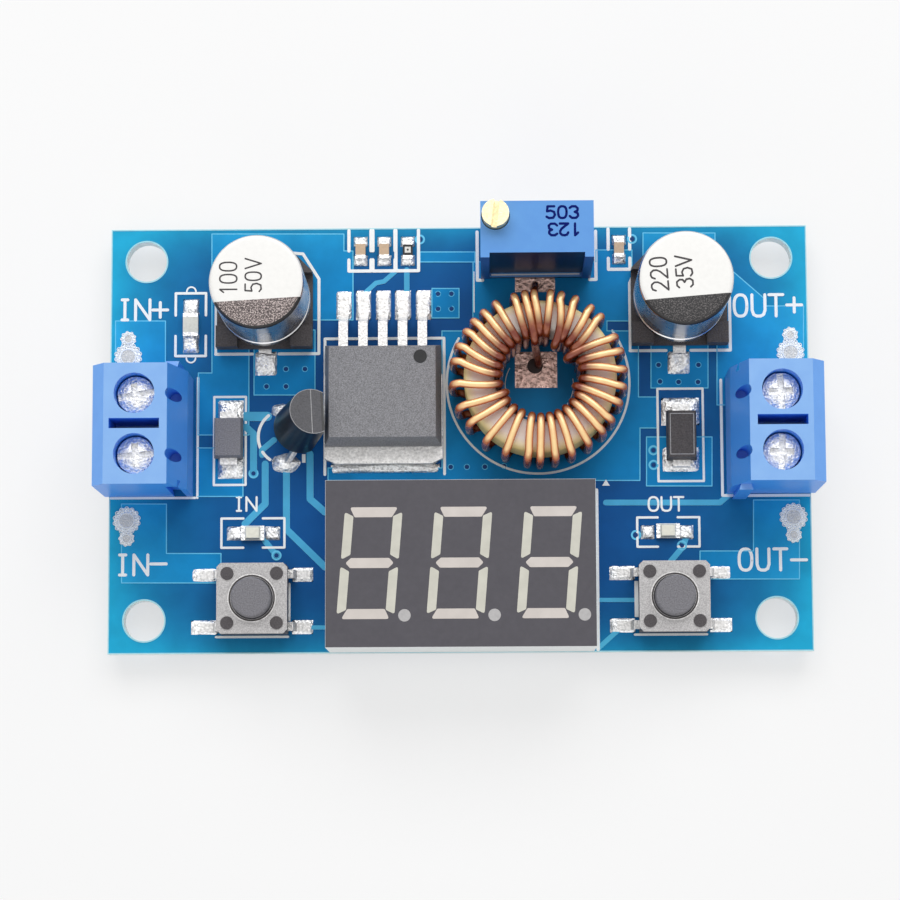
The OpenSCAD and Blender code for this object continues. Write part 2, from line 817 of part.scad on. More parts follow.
wire_route = concat(
  outer_lead,
  [for (i = [0 : winding_turns - 1]) each turn_points(i)],
  inner_lead
);

function on_ring(p) = [p[0] * cos(p[1]), p[0] * sin(p[1]), p[2]];

function unit(v) = v / norm(v);

// The wire's section at one point of its route, square to the route there
function wire_ring(i) =
  let (last = len(wire_route) - 1,
       back = on_ring(wire_route[max(i - 1, 0)]),
       ahead = on_ring(wire_route[min(i + 1, last)]),
       along = unit(ahead - back),
       angle = wire_route[i][1],
       across = [-sin(angle), cos(angle), 0],
       u = unit(across - (across * along) * along),
       v = cross(along, u))
  [for (k = [0 : winding_sides - 1]) let (a = full_turn * k / winding_sides)
    on_ring(wire_route[i]) + wire_diameter / 2 * (cos(a) * u + sin(a) * v)];

module inductor_winding() {
  rings = [for (i = [0 : len(wire_route) - 1]) wire_ring(i)];
  n = winding_sides;
  last = len(rings) - 1;
  color(copper) on_board() translate([inductor_at.x, inductor_at.y, 0]) polyhedron(
    points = [for (ring = rings) each ring],
    faces = concat(
      [[for (k = [0 : n - 1]) k]],
      [for (i = [0 : last - 1], k = [0 : n - 1])
        [i * n + k, (i + 1) * n + k, (i + 1) * n + (k + 1) % n, i * n + (k + 1) % n]],
      [[for (k = [n - 1 : -1 : 0]) last * n + k]]
    ),
    convexity = 10
  );
}

// ---------- trimmer ----------

module at_trimmer() on_board() translate([trimmer_at.x, trimmer_at.y, 0]) children();

trimmer_screw_at = [trimmer_screw_inset - trimmer_length / 2,
                    trimmer_width / 2 - trimmer_screw_inset];

// A box with a shallow panel between corner posts on its two long sides, and low feet
module trimmer_body() {
  panel = [trimmer_length - 2 * trimmer_post, trimmer_panel_depth + cut, trimmer_height];
  color([0.25, 0.5, 0.9]) at_trimmer() difference() {
    block([trimmer_length, trimmer_width, trimmer_height]);
    for (side = [-1, 1])
      translate([0, side * ((trimmer_width + panel.y) / 2 - trimmer_panel_depth), trimmer_foot * 2])
        block([panel.x, panel.y, panel.z]);
    translate([0, 0, -cut]) block([panel.x, trimmer_width + 2 * cut, trimmer_foot + cut]);
    translate([trimmer_screw_at.x, trimmer_screw_at.y, trimmer_height - trimmer_screw_depth])
      cylinder(d = trimmer_screw_diameter + 2 * trimmer_screw_gap, h = trimmer_height);
    for (p = trimmer_pin_at)
      translate([p.x - trimmer_at.x, p.y - trimmer_at.y, -cut])
        cylinder(d = small_pin, h = trimmer_foot + small_pin + cut);
  }
}

module trimmer_screw() {
  color("goldenrod") at_trimmer() translate([trimmer_screw_at.x, trimmer_screw_at.y, 0])
    difference() {
      translate([0, 0, trimmer_height - trimmer_screw_depth + trimmer_screw_gap])
        rounded_disc(trimmer_screw_diameter,
                     trimmer_screw_depth + trimmer_screw_projection, trimmer_screw_gap * 3);
      translate([0, 0, trimmer_height + trimmer_screw_projection - trimmer_screw_slot.y])
        block([trimmer_screw_diameter + cut, trimmer_screw_slot.x, trimmer_screw_slot.y + cut]);
    }
}

module trimmer_pins() {
  color(tin) for (p = board_pins) if (p[3] && p[1] == small_pin)
    pin(p, -pin_protrusion, board_thickness + trimmer_foot + small_pin);
}

// ---------- display ----------

module at_display() on_board() translate([display_at.x, display_at.y, 0]) children();

// The seven segments of one digit, upright and centred on the origin: the outer six are
// trapezoids that are mitred at the corners, and the middle one has pointed ends
module upright_digit() {
  w = digit_width / 2;
  h = digit_height / 2;
  t = segment_width;
  c = segment_corner;
  for (flip = [0, 1]) mirror([0, flip, 0]) {
    polygon([[c - w, h], [w - c, h], [w - c - t, h - t], [c + t - w, h - t]]);
    for (side = [0, 1]) mirror([side, 0, 0]) polygon([
      [w, h - c], [w, segment_waist], [w - t, segment_waist + t / 2], [w - t, h - c - t]
    ]);
  }
  polygon([
    [c - w, 0], [c - w + t / 2, t / 2], [w - c - t / 2, t / 2],
    [w - c, 0], [w - c - t / 2, -t / 2], [c - w + t / 2, -t / 2]
  ]);
}

module digits() {
  slant = tan(digit_slant);
  for (i = [-1 : 1]) translate([i * digit_pitch + digit_row_shift.x, digit_row_shift.y]) {
    multmatrix([[1, slant, 0, 0], [0, 1, 0, 0], [0, 0, 1, 0], [0, 0, 0, 1]]) upright_digit();
    translate(decimal_point_at) circle(d = decimal_point_diameter);
  }
}

module segment_solids() {
  translate([0, 0, display_height - segment_depth]) linear_extrude(segment_depth) digits();
}

// The white reflector body, hollow under its skirt and open where the segments shine through
module display_housing() {
  face_z = display_height - display_face_thickness;
  color("white") at_display() difference() {
    block([display_length, display_width, display_height]);
    translate([0, 0, face_z])
      block([display_length - 2 * display_rim, display_width - 2 * display_rim, cut]);
    translate([0, 0, display_height - segment_depth]) linear_extrude(segment_depth) digits();
    translate([0, 0, -cut])
      block([display_length - 2 * display_skirt, display_width - 2 * display_skirt,
             display_skirt + cut]);
  }
}

// The dark face, with a window for each segment
module display_face() {
  color([0.3, 0.29, 0.31]) at_display() difference() {
    translate([0, 0, display_height - display_face_thickness])
      block([display_length - 2 * display_rim, display_width - 2 * display_rim,
             display_face_thickness]);
    translate([0, 0, display_height - segment_depth]) linear_extrude(segment_depth + cut) digits();
  }
}

module display_segments() color("ivory") at_display() segment_solids();

module display_pins() {
  color(tin) for (p = board_pins) if (!p[3] && p[1] == small_pin)
    pin(p, -pin_protrusion, board_thickness + display_skirt);
}

// ---------- tact switches ----------

module at_switch(place) on_board() translate([place.x, place.y, 0]) children();

switch_base_top = switch_cover_height - switch_cover_thickness;

module at_rivets() {
  for (x = [-1, 1], y = [-1, 1])
    translate([x * switch_rivet_offset, y * switch_rivet_offset, 0]) children();
}

module switch_terminal_set() {
  color(tin) for (side = [0, 180], y = [-1, 1])
    rotate(side) translate([switch_side / 2, y * switch_terminal_offset, 0]) rotate(-90)
      bent_lead(switch_terminal_width, switch_terminal_root, switch_terminal_exit,
                switch_terminal_thickness, switch_terminal_bend / 2, switch_terminal_bend,
                (switch_terminal_span - switch_side) / 2);
}

module switch_base() {
  color(black) difference() {
    union() {
      translate([0, 0, switch_standoff])
        block([switch_side - 2 * switch_cover_gap, switch_side - 2 * switch_cover_gap,
               switch_base_top - switch_standoff]);
      at_rivets() translate([0, 0, switch_base_top - switch_standoff])
        cylinder(d = switch_rivet_diameter,
                 h = switch_cover_thickness + switch_rivet_head + switch_standoff);
    }
    translate([0, 0, switch_well_floor]) cylinder(d = switch_well_diameter, h = switch_side);
    switch_terminal_set();
  }
}

// The stamped steel cover: a plate with cut corners, riveted down by the base's four posts
module switch_cover() {
  half = switch_side / 2;
  c = switch_cover_corner;
  color("silver") translate([0, 0, switch_base_top]) difference() {
    linear_extrude(switch_cover_thickness) polygon([
      [c - half, -half], [half - c, -half], [half, c - half], [half, half - c],
      [half - c, half], [c - half, half], [-half, half - c], [-half, c - half]
    ]);
    translate([0, 0, -cut])
      cylinder(d = switch_button_diameter + 4 * switch_slack, h = switch_side);
    at_rivets() translate([0, 0, -cut]) cylinder(d = switch_rivet_diameter, h = switch_side);
  }
}

// A nub's end at rest, so that the button's travel ends just above the dome
nub_bottom = switch_well_floor + switch_dome_rise + switch_dome_thickness
  + switch_nub_gap + switch_travel;

module switch_button() {
  collar_top = switch_base_top - switch_slack;
  collar_bottom = collar_top - switch_collar_thickness;
  color("dimgray") {
    translate([0, 0, collar_top - switch_slack])
      rounded_disc(switch_button_diameter, switch_button_height - collar_top + switch_slack,
                   switch_button_edge);
    translate([0, 0, collar_bottom])
      cylinder(d = switch_collar_diameter, h = switch_collar_thickness);
    translate([0, 0, nub_bottom]) cylinder(d = switch_nub_diameter, h = collar_bottom - nub_bottom);
  }
}

// A thin snap dome, the cap of a hollow ball
module switch_dome() {
  radius = switch_dome_diameter / 2;
  ball = (radius * radius + switch_dome_rise * switch_dome_rise) / (2 * switch_dome_rise);
  color("silver") translate([0, 0, switch_well_floor]) difference() {
    intersection() {
      translate([0, 0, switch_dome_rise - ball]) sphere(ball + switch_dome_thickness);
      cylinder(d = switch_dome_diameter, h = switch_dome_rise + switch_dome_thickness);
    }
    translate([0, 0, switch_dome_rise - ball]) sphere(ball);
  }
}

module left_switch_base() at_switch(left_switch_at) switch_base();
module left_switch_cover() at_switch(left_switch_at) switch_cover();
module left_switch_button() at_switch(left_switch_at) switch_button();
module left_switch_dome() at_switch(left_switch_at) switch_dome();
module left_switch_terminals() at_switch(left_switch_at) switch_terminal_set();
module right_switch_base() at_switch(right_switch_at) switch_base();
module right_switch_cover() at_switch(right_switch_at) switch_cover();
module right_switch_button() at_switch(right_switch_at) switch_button();
module right_switch_dome() at_switch(right_switch_at) switch_dome();
module right_switch_terminals() at_switch(right_switch_at) switch_terminal_set();

// ---------- small regulator ----------

// Tilts its children about the foot of the body: towards +X, and a little towards +Y
module transistor_tilt() {
  on_board() translate([transistor_at.x, transistor_at.y, 0]) translate(transistor_foot)
    rotate([-transistor_side_lean, transistor_lean, 0]) children();
}

// A round body cut flat on its +X side, tapering each way from the mould line
module transistor_body() {
  r = transistor_diameter / 2;
  color(black) transistor_tilt() difference() {
    intersection() {
      cylinder(r1 = r, r2 = r - transistor_draft, h = transistor_height);
      translate([-transistor_diameter, -transistor_diameter, 0])
        cube([transistor_diameter + transistor_flat, 2 * transistor_diameter, transistor_height]);
    }
    for (i = [-1 : 1]) translate([0, i * transistor_leg_pitch, -cut])
      block([transistor_leg, transistor_leg, transistor_leg_root + cut]);
  }
}

// Each leg leaves the leaning body and bends to its hole in the board
module transistor_legs() {
  color(tin) {
    for (i = [-1 : 1]) transistor_leg_bend(i);
    for (p = board_pins) if (p[1] == transistor_leg)
      pin(p, -pin_protrusion, board_thickness + transistor_leg / 2);
  }
}

module transistor_leg_bend(i) {
  transistor_tilt() translate([0, i * transistor_leg_pitch, 0])
    block([transistor_leg, transistor_leg, transistor_leg_root]);
  hull() {
    transistor_tilt() translate([0, i * transistor_leg_pitch, -transistor_leg])
      block([transistor_leg, transistor_leg, transistor_leg]);
    translate([transistor_at.x, transistor_at.y + i * transistor_leg_spread,
               board_thickness + transistor_leg / 4])
      block([transistor_leg, transistor_leg, transistor_leg / 4]);
  }
}

// ---------- diodes ----------

module diode_body(size) {
  color(black) difference() {
    translate([0, 0, diode_standoff])
      moulded_case([size.x, size.y, size.z - diode_standoff], diode_parting, diode_bevel,
                   diode_bevel / 2);
    diode_terminals(size);
  }
}

// Each terminal leaves at the parting line, folds down the end and turns in on the board
module diode_terminals(size) {
  t = diode_terminal_thickness;
  end = size.y / 2 + diode_terminal_reach;
  z = diode_parting + diode_standoff;
  color(tin) for (side = [0, 180]) rotate([90, 0, 90 + side])
    linear_extrude(diode_terminal_width, center = true) polygon([
      [end - diode_terminal_foot - t, 0], [end, 0], [end, z + t / 2],
      [size.y / 2 - 2 * t, z + t / 2], [size.y / 2 - 2 * t, z - t / 2], [end - t, z - t / 2],
      [end - t, t], [end - diode_terminal_foot - t, t]
    ]);
}

catch_diode_size = [catch_diode_width, catch_diode_length, catch_diode_height];

module at_place(place) on_board() translate([place.x, place.y, 0]) children();

module input_diode_body() at_place(input_diode_at) diode_body(input_diode_size);
module input_diode_terminals() at_place(input_diode_at) diode_terminals(input_diode_size);
module catch_diode_body() at_place(catch_diode_at) diode_body(catch_diode_size);
module catch_diode_terminals() at_place(catch_diode_at) diode_terminals(catch_diode_size);

// ---------- chip parts ----------

module at_leds() {
  for (p = led_positions)
    at_place([p.x, left_switch_at.y + p.y]) children();
}

module led_bases() color("ivory") at_leds() difference() {
  block(led_size);
  for (side = [-1, 1]) translate([side * (led_size.x - chip_end) / 2, 0, -cut])
    block([chip_end, led_size.y + cut, led_size.z + 2 * cut]);
}

module led_lenses() {
  color([1, 0.98, 0.9]) at_leds() translate([0, 0, led_size.z])
    moulded_case(led_lens_size, led_lens_size.z / 3, led_lens_bevel, 0);
}

north_row_y = board_width / 2 - north_row_inset;

module at_capacitor_chips() {
  for (x = capacitor_chips) at_place([x, north_row_y]) children();
}

module at_underside_chips() {
  for (x = underside_chip_columns, y = underside_chip_rows)
    translate([display_at.x + x, display_at.y + y, 0]) under_board() children();
}

module chip_capacitor_bodies() {
  color("tan") at_capacitor_chips() chip_body(chip_size_small);
  color("whitesmoke") at_place(input_chip_at) chip_body(chip_size_large);
}

module chip_resistor_bodies() {
  color(black) {
    at_place([resistor_chip, north_row_y]) chip_body(chip_size_flat);
    at_underside_chips() chip_body(chip_size_flat);
  }
}

module chip_terminations() {
  color(tin) {
    at_capacitor_chips() chip_ends(chip_size_small);
    at_place(input_chip_at) chip_ends(chip_size_large);
    at_place([resistor_chip, north_row_y]) chip_ends(chip_size_flat);
    at_underside_chips() chip_ends(chip_size_flat);
    at_leds() rotate(90) chip_ends([led_size.y, led_size.x, led_size.z]);
  }
}

// ---------- voltmeter chip ----------

module at_meter_chip() translate([display_at.x, display_at.y, 0]) under_board() children();

module meter_lead_rows() {
  for (side = [0, 180], i = [0 : meter_leads_a_side - 1])
    rotate(side)
      translate([(i - (meter_leads_a_side - 1) / 2) * meter_lead_pitch, meter_chip_size.y / 2, 0])
        bent_lead(meter_lead_width, meter_lead_root, meter_lead_height, meter_lead_thickness,
                  meter_lead_reach / 4, meter_lead_reach / 2, meter_lead_reach);
}

module meter_chip_body() {
  color(black) at_meter_chip() difference() {
    translate([0, 0, meter_chip_standoff]) block(meter_chip_size);
    meter_lead_rows();
  }
}

module meter_chip_leads() color(tin) at_meter_chip() meter_lead_rows();

// ---------- output ----------

circuit_board();
wire_pad_solder();
underside_solder();
input_terminal_housing();
output_terminal_housing();
input_terminal_contacts();
output_terminal_contacts();
input_positive_screw();
input_negative_screw();
output_positive_screw();
output_negative_screw();
input_positive_cage();
input_negative_cage();
output_positive_cage();
output_negative_cage();
input_capacitor_can();
input_capacitor_base();
input_capacitor_leads();
output_capacitor_can();
output_capacitor_base();
output_capacitor_leads();
regulator_case();
regulator_tab();
regulator_leads();
inductor_core();
inductor_winding();
trimmer_body();
trimmer_screw();
trimmer_pins();
display_housing();
display_face();
display_segments();
display_pins();
left_switch_base();
left_switch_cover();
left_switch_button();
left_switch_dome();
left_switch_terminals();
right_switch_base();
right_switch_cover();
right_switch_button();
right_switch_dome();
right_switch_terminals();
transistor_body();
transistor_legs();
input_diode_body();
input_diode_terminals();
catch_diode_body();
catch_diode_terminals();
led_bases();
led_lenses();
chip_capacitor_bodies();
chip_resistor_bodies();
chip_terminations();
meter_chip_body();
meter_chip_leads();
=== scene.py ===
import math

import bmesh
import bpy
from mathutils import Matrix, Vector


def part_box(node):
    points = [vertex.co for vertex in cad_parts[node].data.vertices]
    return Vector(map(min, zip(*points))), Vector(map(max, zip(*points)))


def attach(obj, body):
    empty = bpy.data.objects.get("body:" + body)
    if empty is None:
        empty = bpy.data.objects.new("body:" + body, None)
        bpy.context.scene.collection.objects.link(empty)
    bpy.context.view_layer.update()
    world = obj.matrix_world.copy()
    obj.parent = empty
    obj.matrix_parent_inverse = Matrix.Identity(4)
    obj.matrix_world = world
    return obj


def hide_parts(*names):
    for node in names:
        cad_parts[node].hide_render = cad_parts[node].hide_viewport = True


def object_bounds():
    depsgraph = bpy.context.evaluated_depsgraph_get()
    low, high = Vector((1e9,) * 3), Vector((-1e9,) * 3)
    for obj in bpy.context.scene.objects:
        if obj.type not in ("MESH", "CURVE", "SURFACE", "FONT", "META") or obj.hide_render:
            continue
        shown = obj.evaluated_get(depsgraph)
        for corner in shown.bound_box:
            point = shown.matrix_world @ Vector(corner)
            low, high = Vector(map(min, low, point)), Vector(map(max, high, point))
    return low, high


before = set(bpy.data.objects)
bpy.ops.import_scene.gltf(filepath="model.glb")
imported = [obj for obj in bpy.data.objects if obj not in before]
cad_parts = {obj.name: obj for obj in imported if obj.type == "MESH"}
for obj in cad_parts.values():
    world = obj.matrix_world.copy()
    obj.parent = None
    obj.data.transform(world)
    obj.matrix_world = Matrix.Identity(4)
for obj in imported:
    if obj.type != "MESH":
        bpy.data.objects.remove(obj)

cad_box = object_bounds()
MM = 0.001

# Heights and places on the part that several sections share, in millimetres. Every marking and
# solder fillet gives its height above BOARD_TOP.
BOARD_TOP = 1.6
BOARD_HALF_X, BOARD_HALF_Y = 30.25, 18.5
HOLES = [(x, y) for x in (-27.15, 27.15) for y in (-15.65, 15.65)]
RING = (6.95, 4.6)  # the inductor's axis
TRIMMER_X = 6.7
TRIMMER_POST = 4.0  # how far from the trimmer's middle its corner posts start
SWITCHES = {"left": -17.6, "right": 18.2}
SWITCH_Y = -14


# ---------- colours and node materials ----------

def srgb(r, g, b):
    """A colour picked as 0 to 255 on screen, as linear light."""
    def one(c):
        c /= 255
        return c / 12.92 if c <= 0.04045 else ((c + 0.055) / 1.055) ** 2.4
    return (one(r), one(g), one(b), 1.0)


class Nodes:
    """A short way to wire a material's nodes."""

    def __init__(self, name):
        self.mat = bpy.data.materials.new(name)
        self.mat.use_nodes = True
        self.tree = self.mat.node_tree
        self.out = self.tree.nodes["Material Output"]
        self.bsdf = self.tree.nodes["Principled BSDF"]
        self.place = self.add("ShaderNodeTexCoord").outputs["Object"]

    def add(self, kind, **settings):
        node = self.tree.nodes.new(kind)
        for key, value in settings.items():
            setattr(node, key, value)
        return node

    def link(self, source, target):
        if isinstance(source, (int, float, tuple, list)):
            target.default_value = source
        else:
            self.tree.links.new(source, target)

    def math(self, operation, a, b=0.0, clamp=False):
        node = self.add("ShaderNodeMath", operation=operation, use_clamp=clamp)
        self.link(a, node.inputs[0])
        self.link(b, node.inputs[1])
        return node.outputs[0]

    def ramp(self, value, low, high, to_low=0.0, to_high=1.0):
        """The value, with low to high stretched over to_low to to_high."""
        node = self.add("ShaderNodeMapRange")
        self.link(value, node.inputs["Value"])
        for name, v in (("From Min", low), ("From Max", high), ("To Min", to_low), ("To Max", to_high)):
            self.link(v, node.inputs[name])
        return node.outputs["Result"]

    def mix(self, factor, a, b):
        node = self.add("ShaderNodeMix", data_type="RGBA")
        self.link(factor, node.inputs["Factor"])
        self.link(a, node.inputs["A"])
        self.link(b, node.inputs["B"])
        return node.outputs["Result"]

    def noise(self, size_mm, detail=3.0):
        """Noise whose lumps are about size_mm across, from 0 to 1."""
        node = self.add("ShaderNodeTexNoise")
        self.link(self.place, node.inputs["Vector"])
        node.inputs["Scale"].default_value = 1 / (size_mm * MM)
        node.inputs["Detail"].default_value = detail
        return node.outputs["Fac"]

    def clouded(self, tone, color, size_mm, share, low=0.3, high=0.7):
        """The tone with up to share of another colour, in patches about size_mm across."""
        return self.mix(self.ramp(self.noise(size_mm), low, high, 0.0, share), tone, color)

    def axes(self):
        node = self.add("ShaderNodeSeparateXYZ")
        self.link(self.place, node.inputs[0])
        return node.outputs

    def from_ring(self):
        """Each point's distance from the inductor's axis, and how far north of the axis it is."""
        x, y, _ = self.axes()
        east = self.math("SUBTRACT", x, RING[0] * MM)
        north = self.math("SUBTRACT", y, RING[1] * MM)
        squares = self.math("ADD", self.math("MULTIPLY", east, east), self.math("MULTIPLY", north, north))
        return self.math("SQRT", squares), north

    def normal(self):
        node = self.add("ShaderNodeSeparateXYZ")
        self.link(self.add("ShaderNodeNewGeometry").outputs["Normal"], node.inputs[0])
        return node.outputs

    def bump(self, height, depth_mm):
        node = self.add("ShaderNodeBump")
        node.inputs["Distance"].default_value = depth_mm * MM
        self.link(height, node.inputs["Height"])
        self.link(node.outputs[0], self.bsdf.inputs["Normal"])

    def finish(self, color, rough, metal=0.0, specular=0.5, coat=0.0, coat_rough=0.1):
        for name, value in (("Base Color", color), ("Roughness", rough), ("Metallic", metal),
                            ("Specular IOR Level", specular), ("Coat Weight", coat),
                            ("Coat Roughness", coat_rough)):
            self.link(value, self.bsdf.inputs[name])
        return self.mat


def grained(name, color, rough, vary, grain, depth, specular=0.5, metal=0.0):
    """A surface whose tone and height vary over grain millimetres."""
    n = Nodes(name)
    spots = n.noise(grain)
    dark = tuple(c * (1 - vary) for c in color[:3]) + (1.0,)
    light = tuple(min(1.0, c * (1 + vary)) for c in color[:3]) + (1.0,)
    n.bump(spots, depth)
    tone = n.mix(n.ramp(spots, 0.3, 0.7), dark, light)
    uneven = n.ramp(n.noise(grain * 4), 0.3, 0.7, rough * 0.85, rough * 1.15)
    return n.finish(tone, uneven, metal=metal, specular=specular)


def speckled(name, dark, light, share):
    """A dark print broken by fine pale grains, more of them with a larger share."""
    n = Nodes(name)
    fine = n.ramp(n.noise(0.1, detail=4), 0.62 - share, 0.74 - share)
    n.bump(n.noise(0.1), 0.01)
    return n.finish(n.mix(fine, dark, light), 0.45, metal=0.1)


def board_material(name, deep, edge):
    """Solder mask with painted light: paler towards the board's ends and edges, where light comes through the
    laminate; the cut laminate is pale.
    """
    n = Nodes(name)

    def glow(place, half, fade):
        """The painted light's share: 1 at the board's edge, and e times less with every fade millimetres
        inwards.
        """
        inwards = n.math("SUBTRACT", half * MM, n.math("ABSOLUTE", place))
        return n.math("POWER", math.e, n.math("MULTIPLY", inwards, -1 / (fade * MM)))

    x, y, _ = n.axes()
    # painted light through the laminate, strongest towards the ends and weaker along the long sides
    ends = glow(x, BOARD_HALF_X, 4.2)
    sides = n.math("MULTIPLY", glow(y, BOARD_HALF_Y, 1.8), 0.6)
    mask = n.mix(n.math("ADD", ends, sides, clamp=True), deep, edge)
    mask = n.clouded(mask, (0.0, 0.02, 0.08, 1.0), 2.5, 0.16, 0.35, 0.65)
    level = n.ramp(n.math("ABSOLUTE", n.normal()[2]), 0.4, 0.6)
    tone = n.mix(level, srgb(240, 250, 250), mask)
    n.bump(n.noise(0.5), 0.004)
    return n.finish(tone, n.ramp(n.noise(3), 0.3, 0.7, 0.34, 0.46), specular=0.12)


def core_material():
    """Painted powdered iron: cream on top, yellower towards its outer edge."""
    n = Nodes("core")
    radius, _ = n.from_ring()
    tone = n.mix(n.ramp(radius, 5.6 * MM, 6.5 * MM), srgb(255, 254, 246), srgb(255, 240, 160))
    tone = n.clouded(tone, srgb(250, 230, 196), 0.6, 0.15)
    n.bump(n.noise(0.3), 0.01)
    return n.finish(tone, 0.5, specular=0.4)


def chip_material():
    """Tan ceramic, but cream-white for the large chip near the input end."""
    n = Nodes("ceramic_tan")
    past_large_chip = n.ramp(n.axes()[0], -20.1 * MM, -20 * MM)
    tone = n.mix(past_large_chip, srgb(232, 232, 220), srgb(206, 178, 148))
    tone = n.clouded(tone, srgb(150, 130, 110), 0.2, 0.2)
    return n.finish(tone, 0.45)


def lit_terminal_material():
    """Moulded blue plastic with painted light and shade: pale on top, a stronger blue on the slopes and
    deeper on the sides.
    """
    n = Nodes("terminal")
    up = n.normal()[2]
    # painted light and shade, set by how far each face points up
    tone = n.mix(n.ramp(up, 0.3, 0.55), srgb(72, 156, 250), srgb(112, 176, 255))
    tone = n.mix(n.ramp(up, 0.86, 0.97), tone, srgb(142, 188, 244))
    tone = n.clouded(tone, srgb(70, 130, 220), 1.5, 0.14)
    n.bump(n.noise(0.3), 0.004)
    return n.finish(tone, 0.38, specular=0.3)


def trimmer_material():
    """Blue plastic with painted light: paler on faces that point up, and painted shade on its south face,
    darkest between the posts.
    """
    n = Nodes("trimmer")
    normal = n.normal()
    # painted light: faces that point up are paler
    blue = n.mix(n.ramp(normal[2], 0.4, 0.6), srgb(62, 118, 206), srgb(100, 160, 228))
    blue = n.clouded(blue, srgb(60, 110, 200), 1.2, 0.12)
    # painted shade on the south face, deepest in the recess between the posts
    from_middle = n.math("ABSOLUTE", n.math("SUBTRACT", n.axes()[0], TRIMMER_X * MM))
    post = n.ramp(from_middle, (TRIMMER_POST - 0.02) * MM, (TRIMMER_POST + 0.02) * MM)
    shaded_south_face = n.mix(post, srgb(16, 28, 62), srgb(48, 84, 160))
    tone = n.mix(n.ramp(normal[1], -0.7, -0.6, 1.0, 0.0), blue, shaded_south_face)
    n.bump(n.noise(0.3), 0.004)
    return n.finish(tone, 0.32, specular=0.3)


def wire_material():
    """Enamelled copper with painted light: a pale orange painted highlight where it faces up across the top,
    and red-brown painted shade where it dips inside, lower down and towards the north.
    """
    n = Nodes("enamel")
    radius, north = n.from_ring()
    shade_reach = n.ramp(north, -3.5 * MM, 3.2 * MM, 4.0 * MM, 5.2 * MM)  # painted shade inside this radius, which grows towards the north
    clear_of_shade = n.ramp(n.math("SUBTRACT", radius, shade_reach), -0.9 * MM, 0.35 * MM)
    # painted shade lower down the ring
    height = n.ramp(n.axes()[2], 5.4 * MM, 7.9 * MM)
    lit = n.math("MULTIPLY", clear_of_shade, height, clamp=True)
    # painted highlight where the wire faces up
    painted_highlight = n.ramp(n.normal()[2], 0.45, 1.0)
    bright = n.mix(painted_highlight, srgb(210, 108, 58), srgb(255, 222, 160))
    tone = n.mix(lit, srgb(122, 48, 24), bright)
    tone = n.clouded(tone, srgb(226, 150, 96), 0.9, 0.3, 0.45, 0.75)
    n.bump(n.noise(0.15), 0.006)
    return n.finish(tone, 0.26, metal=0.3, specular=0.6, coat=0.4, coat_rough=0.12)


# Each plain surface's colour and roughness, how much its tone varies, its grain's size and depth in
# millimetres, and its specular level
SURFACES = {
    "pale_edge": ((170, 226, 236), 0.5, 0.06, 0.6, 0.003, 0.2),
    "silk": ((250, 255, 255), 0.6, 0.03, 0.25, 0.004, 0.2),
    # a dark disc of painted shade standing in for an open hole
    "hole_shade": ((44, 22, 20), 0.4, 0.3, 0.3, 0.01, 0.3),
    "pale_grey": ((158, 158, 160), 0.5, 0.2, 0.15, 0.01, 0.5),
    "segment_green": ((210, 208, 196), 0.35, 0.06, 1.0, 0.004, 0.5),
    "segment_point": ((186, 184, 184), 0.35, 0.08, 0.3, 0.004, 0.5),
    "via": ((16, 60, 120), 0.4, 0.12, 0.2, 0.01, 0.2),
    "black": ((72, 68, 69), 0.55, 0.35, 0.12, 0.02, 0.3),
    "transistor_top": ((86, 86, 90), 0.5, 0.25, 0.12, 0.008, 0.3),
    "copper_edge": ((110, 206, 242), 0.5, 0.05, 0.4, 0.01, 0.15),
    "pitch_black": ((14, 14, 18), 0.32, 0.2, 0.2, 0.004, 0.5),
    "epoxy": ((134, 134, 138), 0.6, 0.42, 0.09, 0.02, 0.3),
    "dark_face": ((88, 86, 92), 0.6, 0.05, 0.5, 0.002, 0.25),
    "white_plastic": ((236, 240, 240), 0.45, 0.03, 0.6, 0.003, 0.5),
    "segment": ((214, 206, 200), 0.35, 0.05, 1.2, 0.004, 0.5),
    "button": ((124, 123, 128), 0.6, 0.3, 0.1, 0.015, 0.3),
    "rivet": ((82, 78, 80), 0.55, 0.25, 0.12, 0.01, 0.3),
    "ceramic_white": ((228, 226, 220), 0.4, 0.08, 0.3, 0.01, 0.5),
    "glaze_black": ((22, 20, 20), 0.3, 0.1, 0.2, 0.01, 0.5),
    "led": ((244, 242, 226), 0.25, 0.05, 0.3, 0.01, 0.5),
    "ink": ((52, 48, 50), 0.6, 0.15, 0.15, 0.002, 0.5),
    "ink_blue": ((4, 22, 104), 0.7, 0.1, 0.15, 0.002, 0.1),
    "can_print": ((250, 249, 246), 0.5, 0.02, 0.4, 0.002, 0.5),
}
# The metals' looks in the same order, up to the grain's depth
METALS = {
    "pad_solder": ((0.6, 0.63, 0.66, 1), 0.42, 0.45, 0.12, 0.08),
    "pad_heart": ((0.46, 0.47, 0.48, 1), 0.5, 0.25, 0.1, 0.03),
    "tinned_pad": ((0.56, 0.38, 0.33, 1), 0.3, 0.6, 0.3, 0.12),
    "solder": ((0.86, 0.86, 0.86, 1), 0.3, 0.45, 0.22, 0.12),
    "tin": ((0.66, 0.65, 0.64, 1), 0.4, 0.25, 0.2, 0.04),
    "zinc": ((0.9, 0.9, 0.9, 1), 0.4, 0.35, 0.22, 0.08),
    "cage": ((0.6, 0.61, 0.63, 1), 0.35, 0.15, 0.3, 0.01),
    "can_side": ((0.66, 0.66, 0.67, 1), 0.26, 0.05, 0.8, 0.003),
    "steel": ((0.4, 0.39, 0.39, 1), 0.4, 0.3, 0.08, 0.015),
    "brass": ((0.88, 0.72, 0.44, 1), 0.4, 0.12, 0.2, 0.02),
}
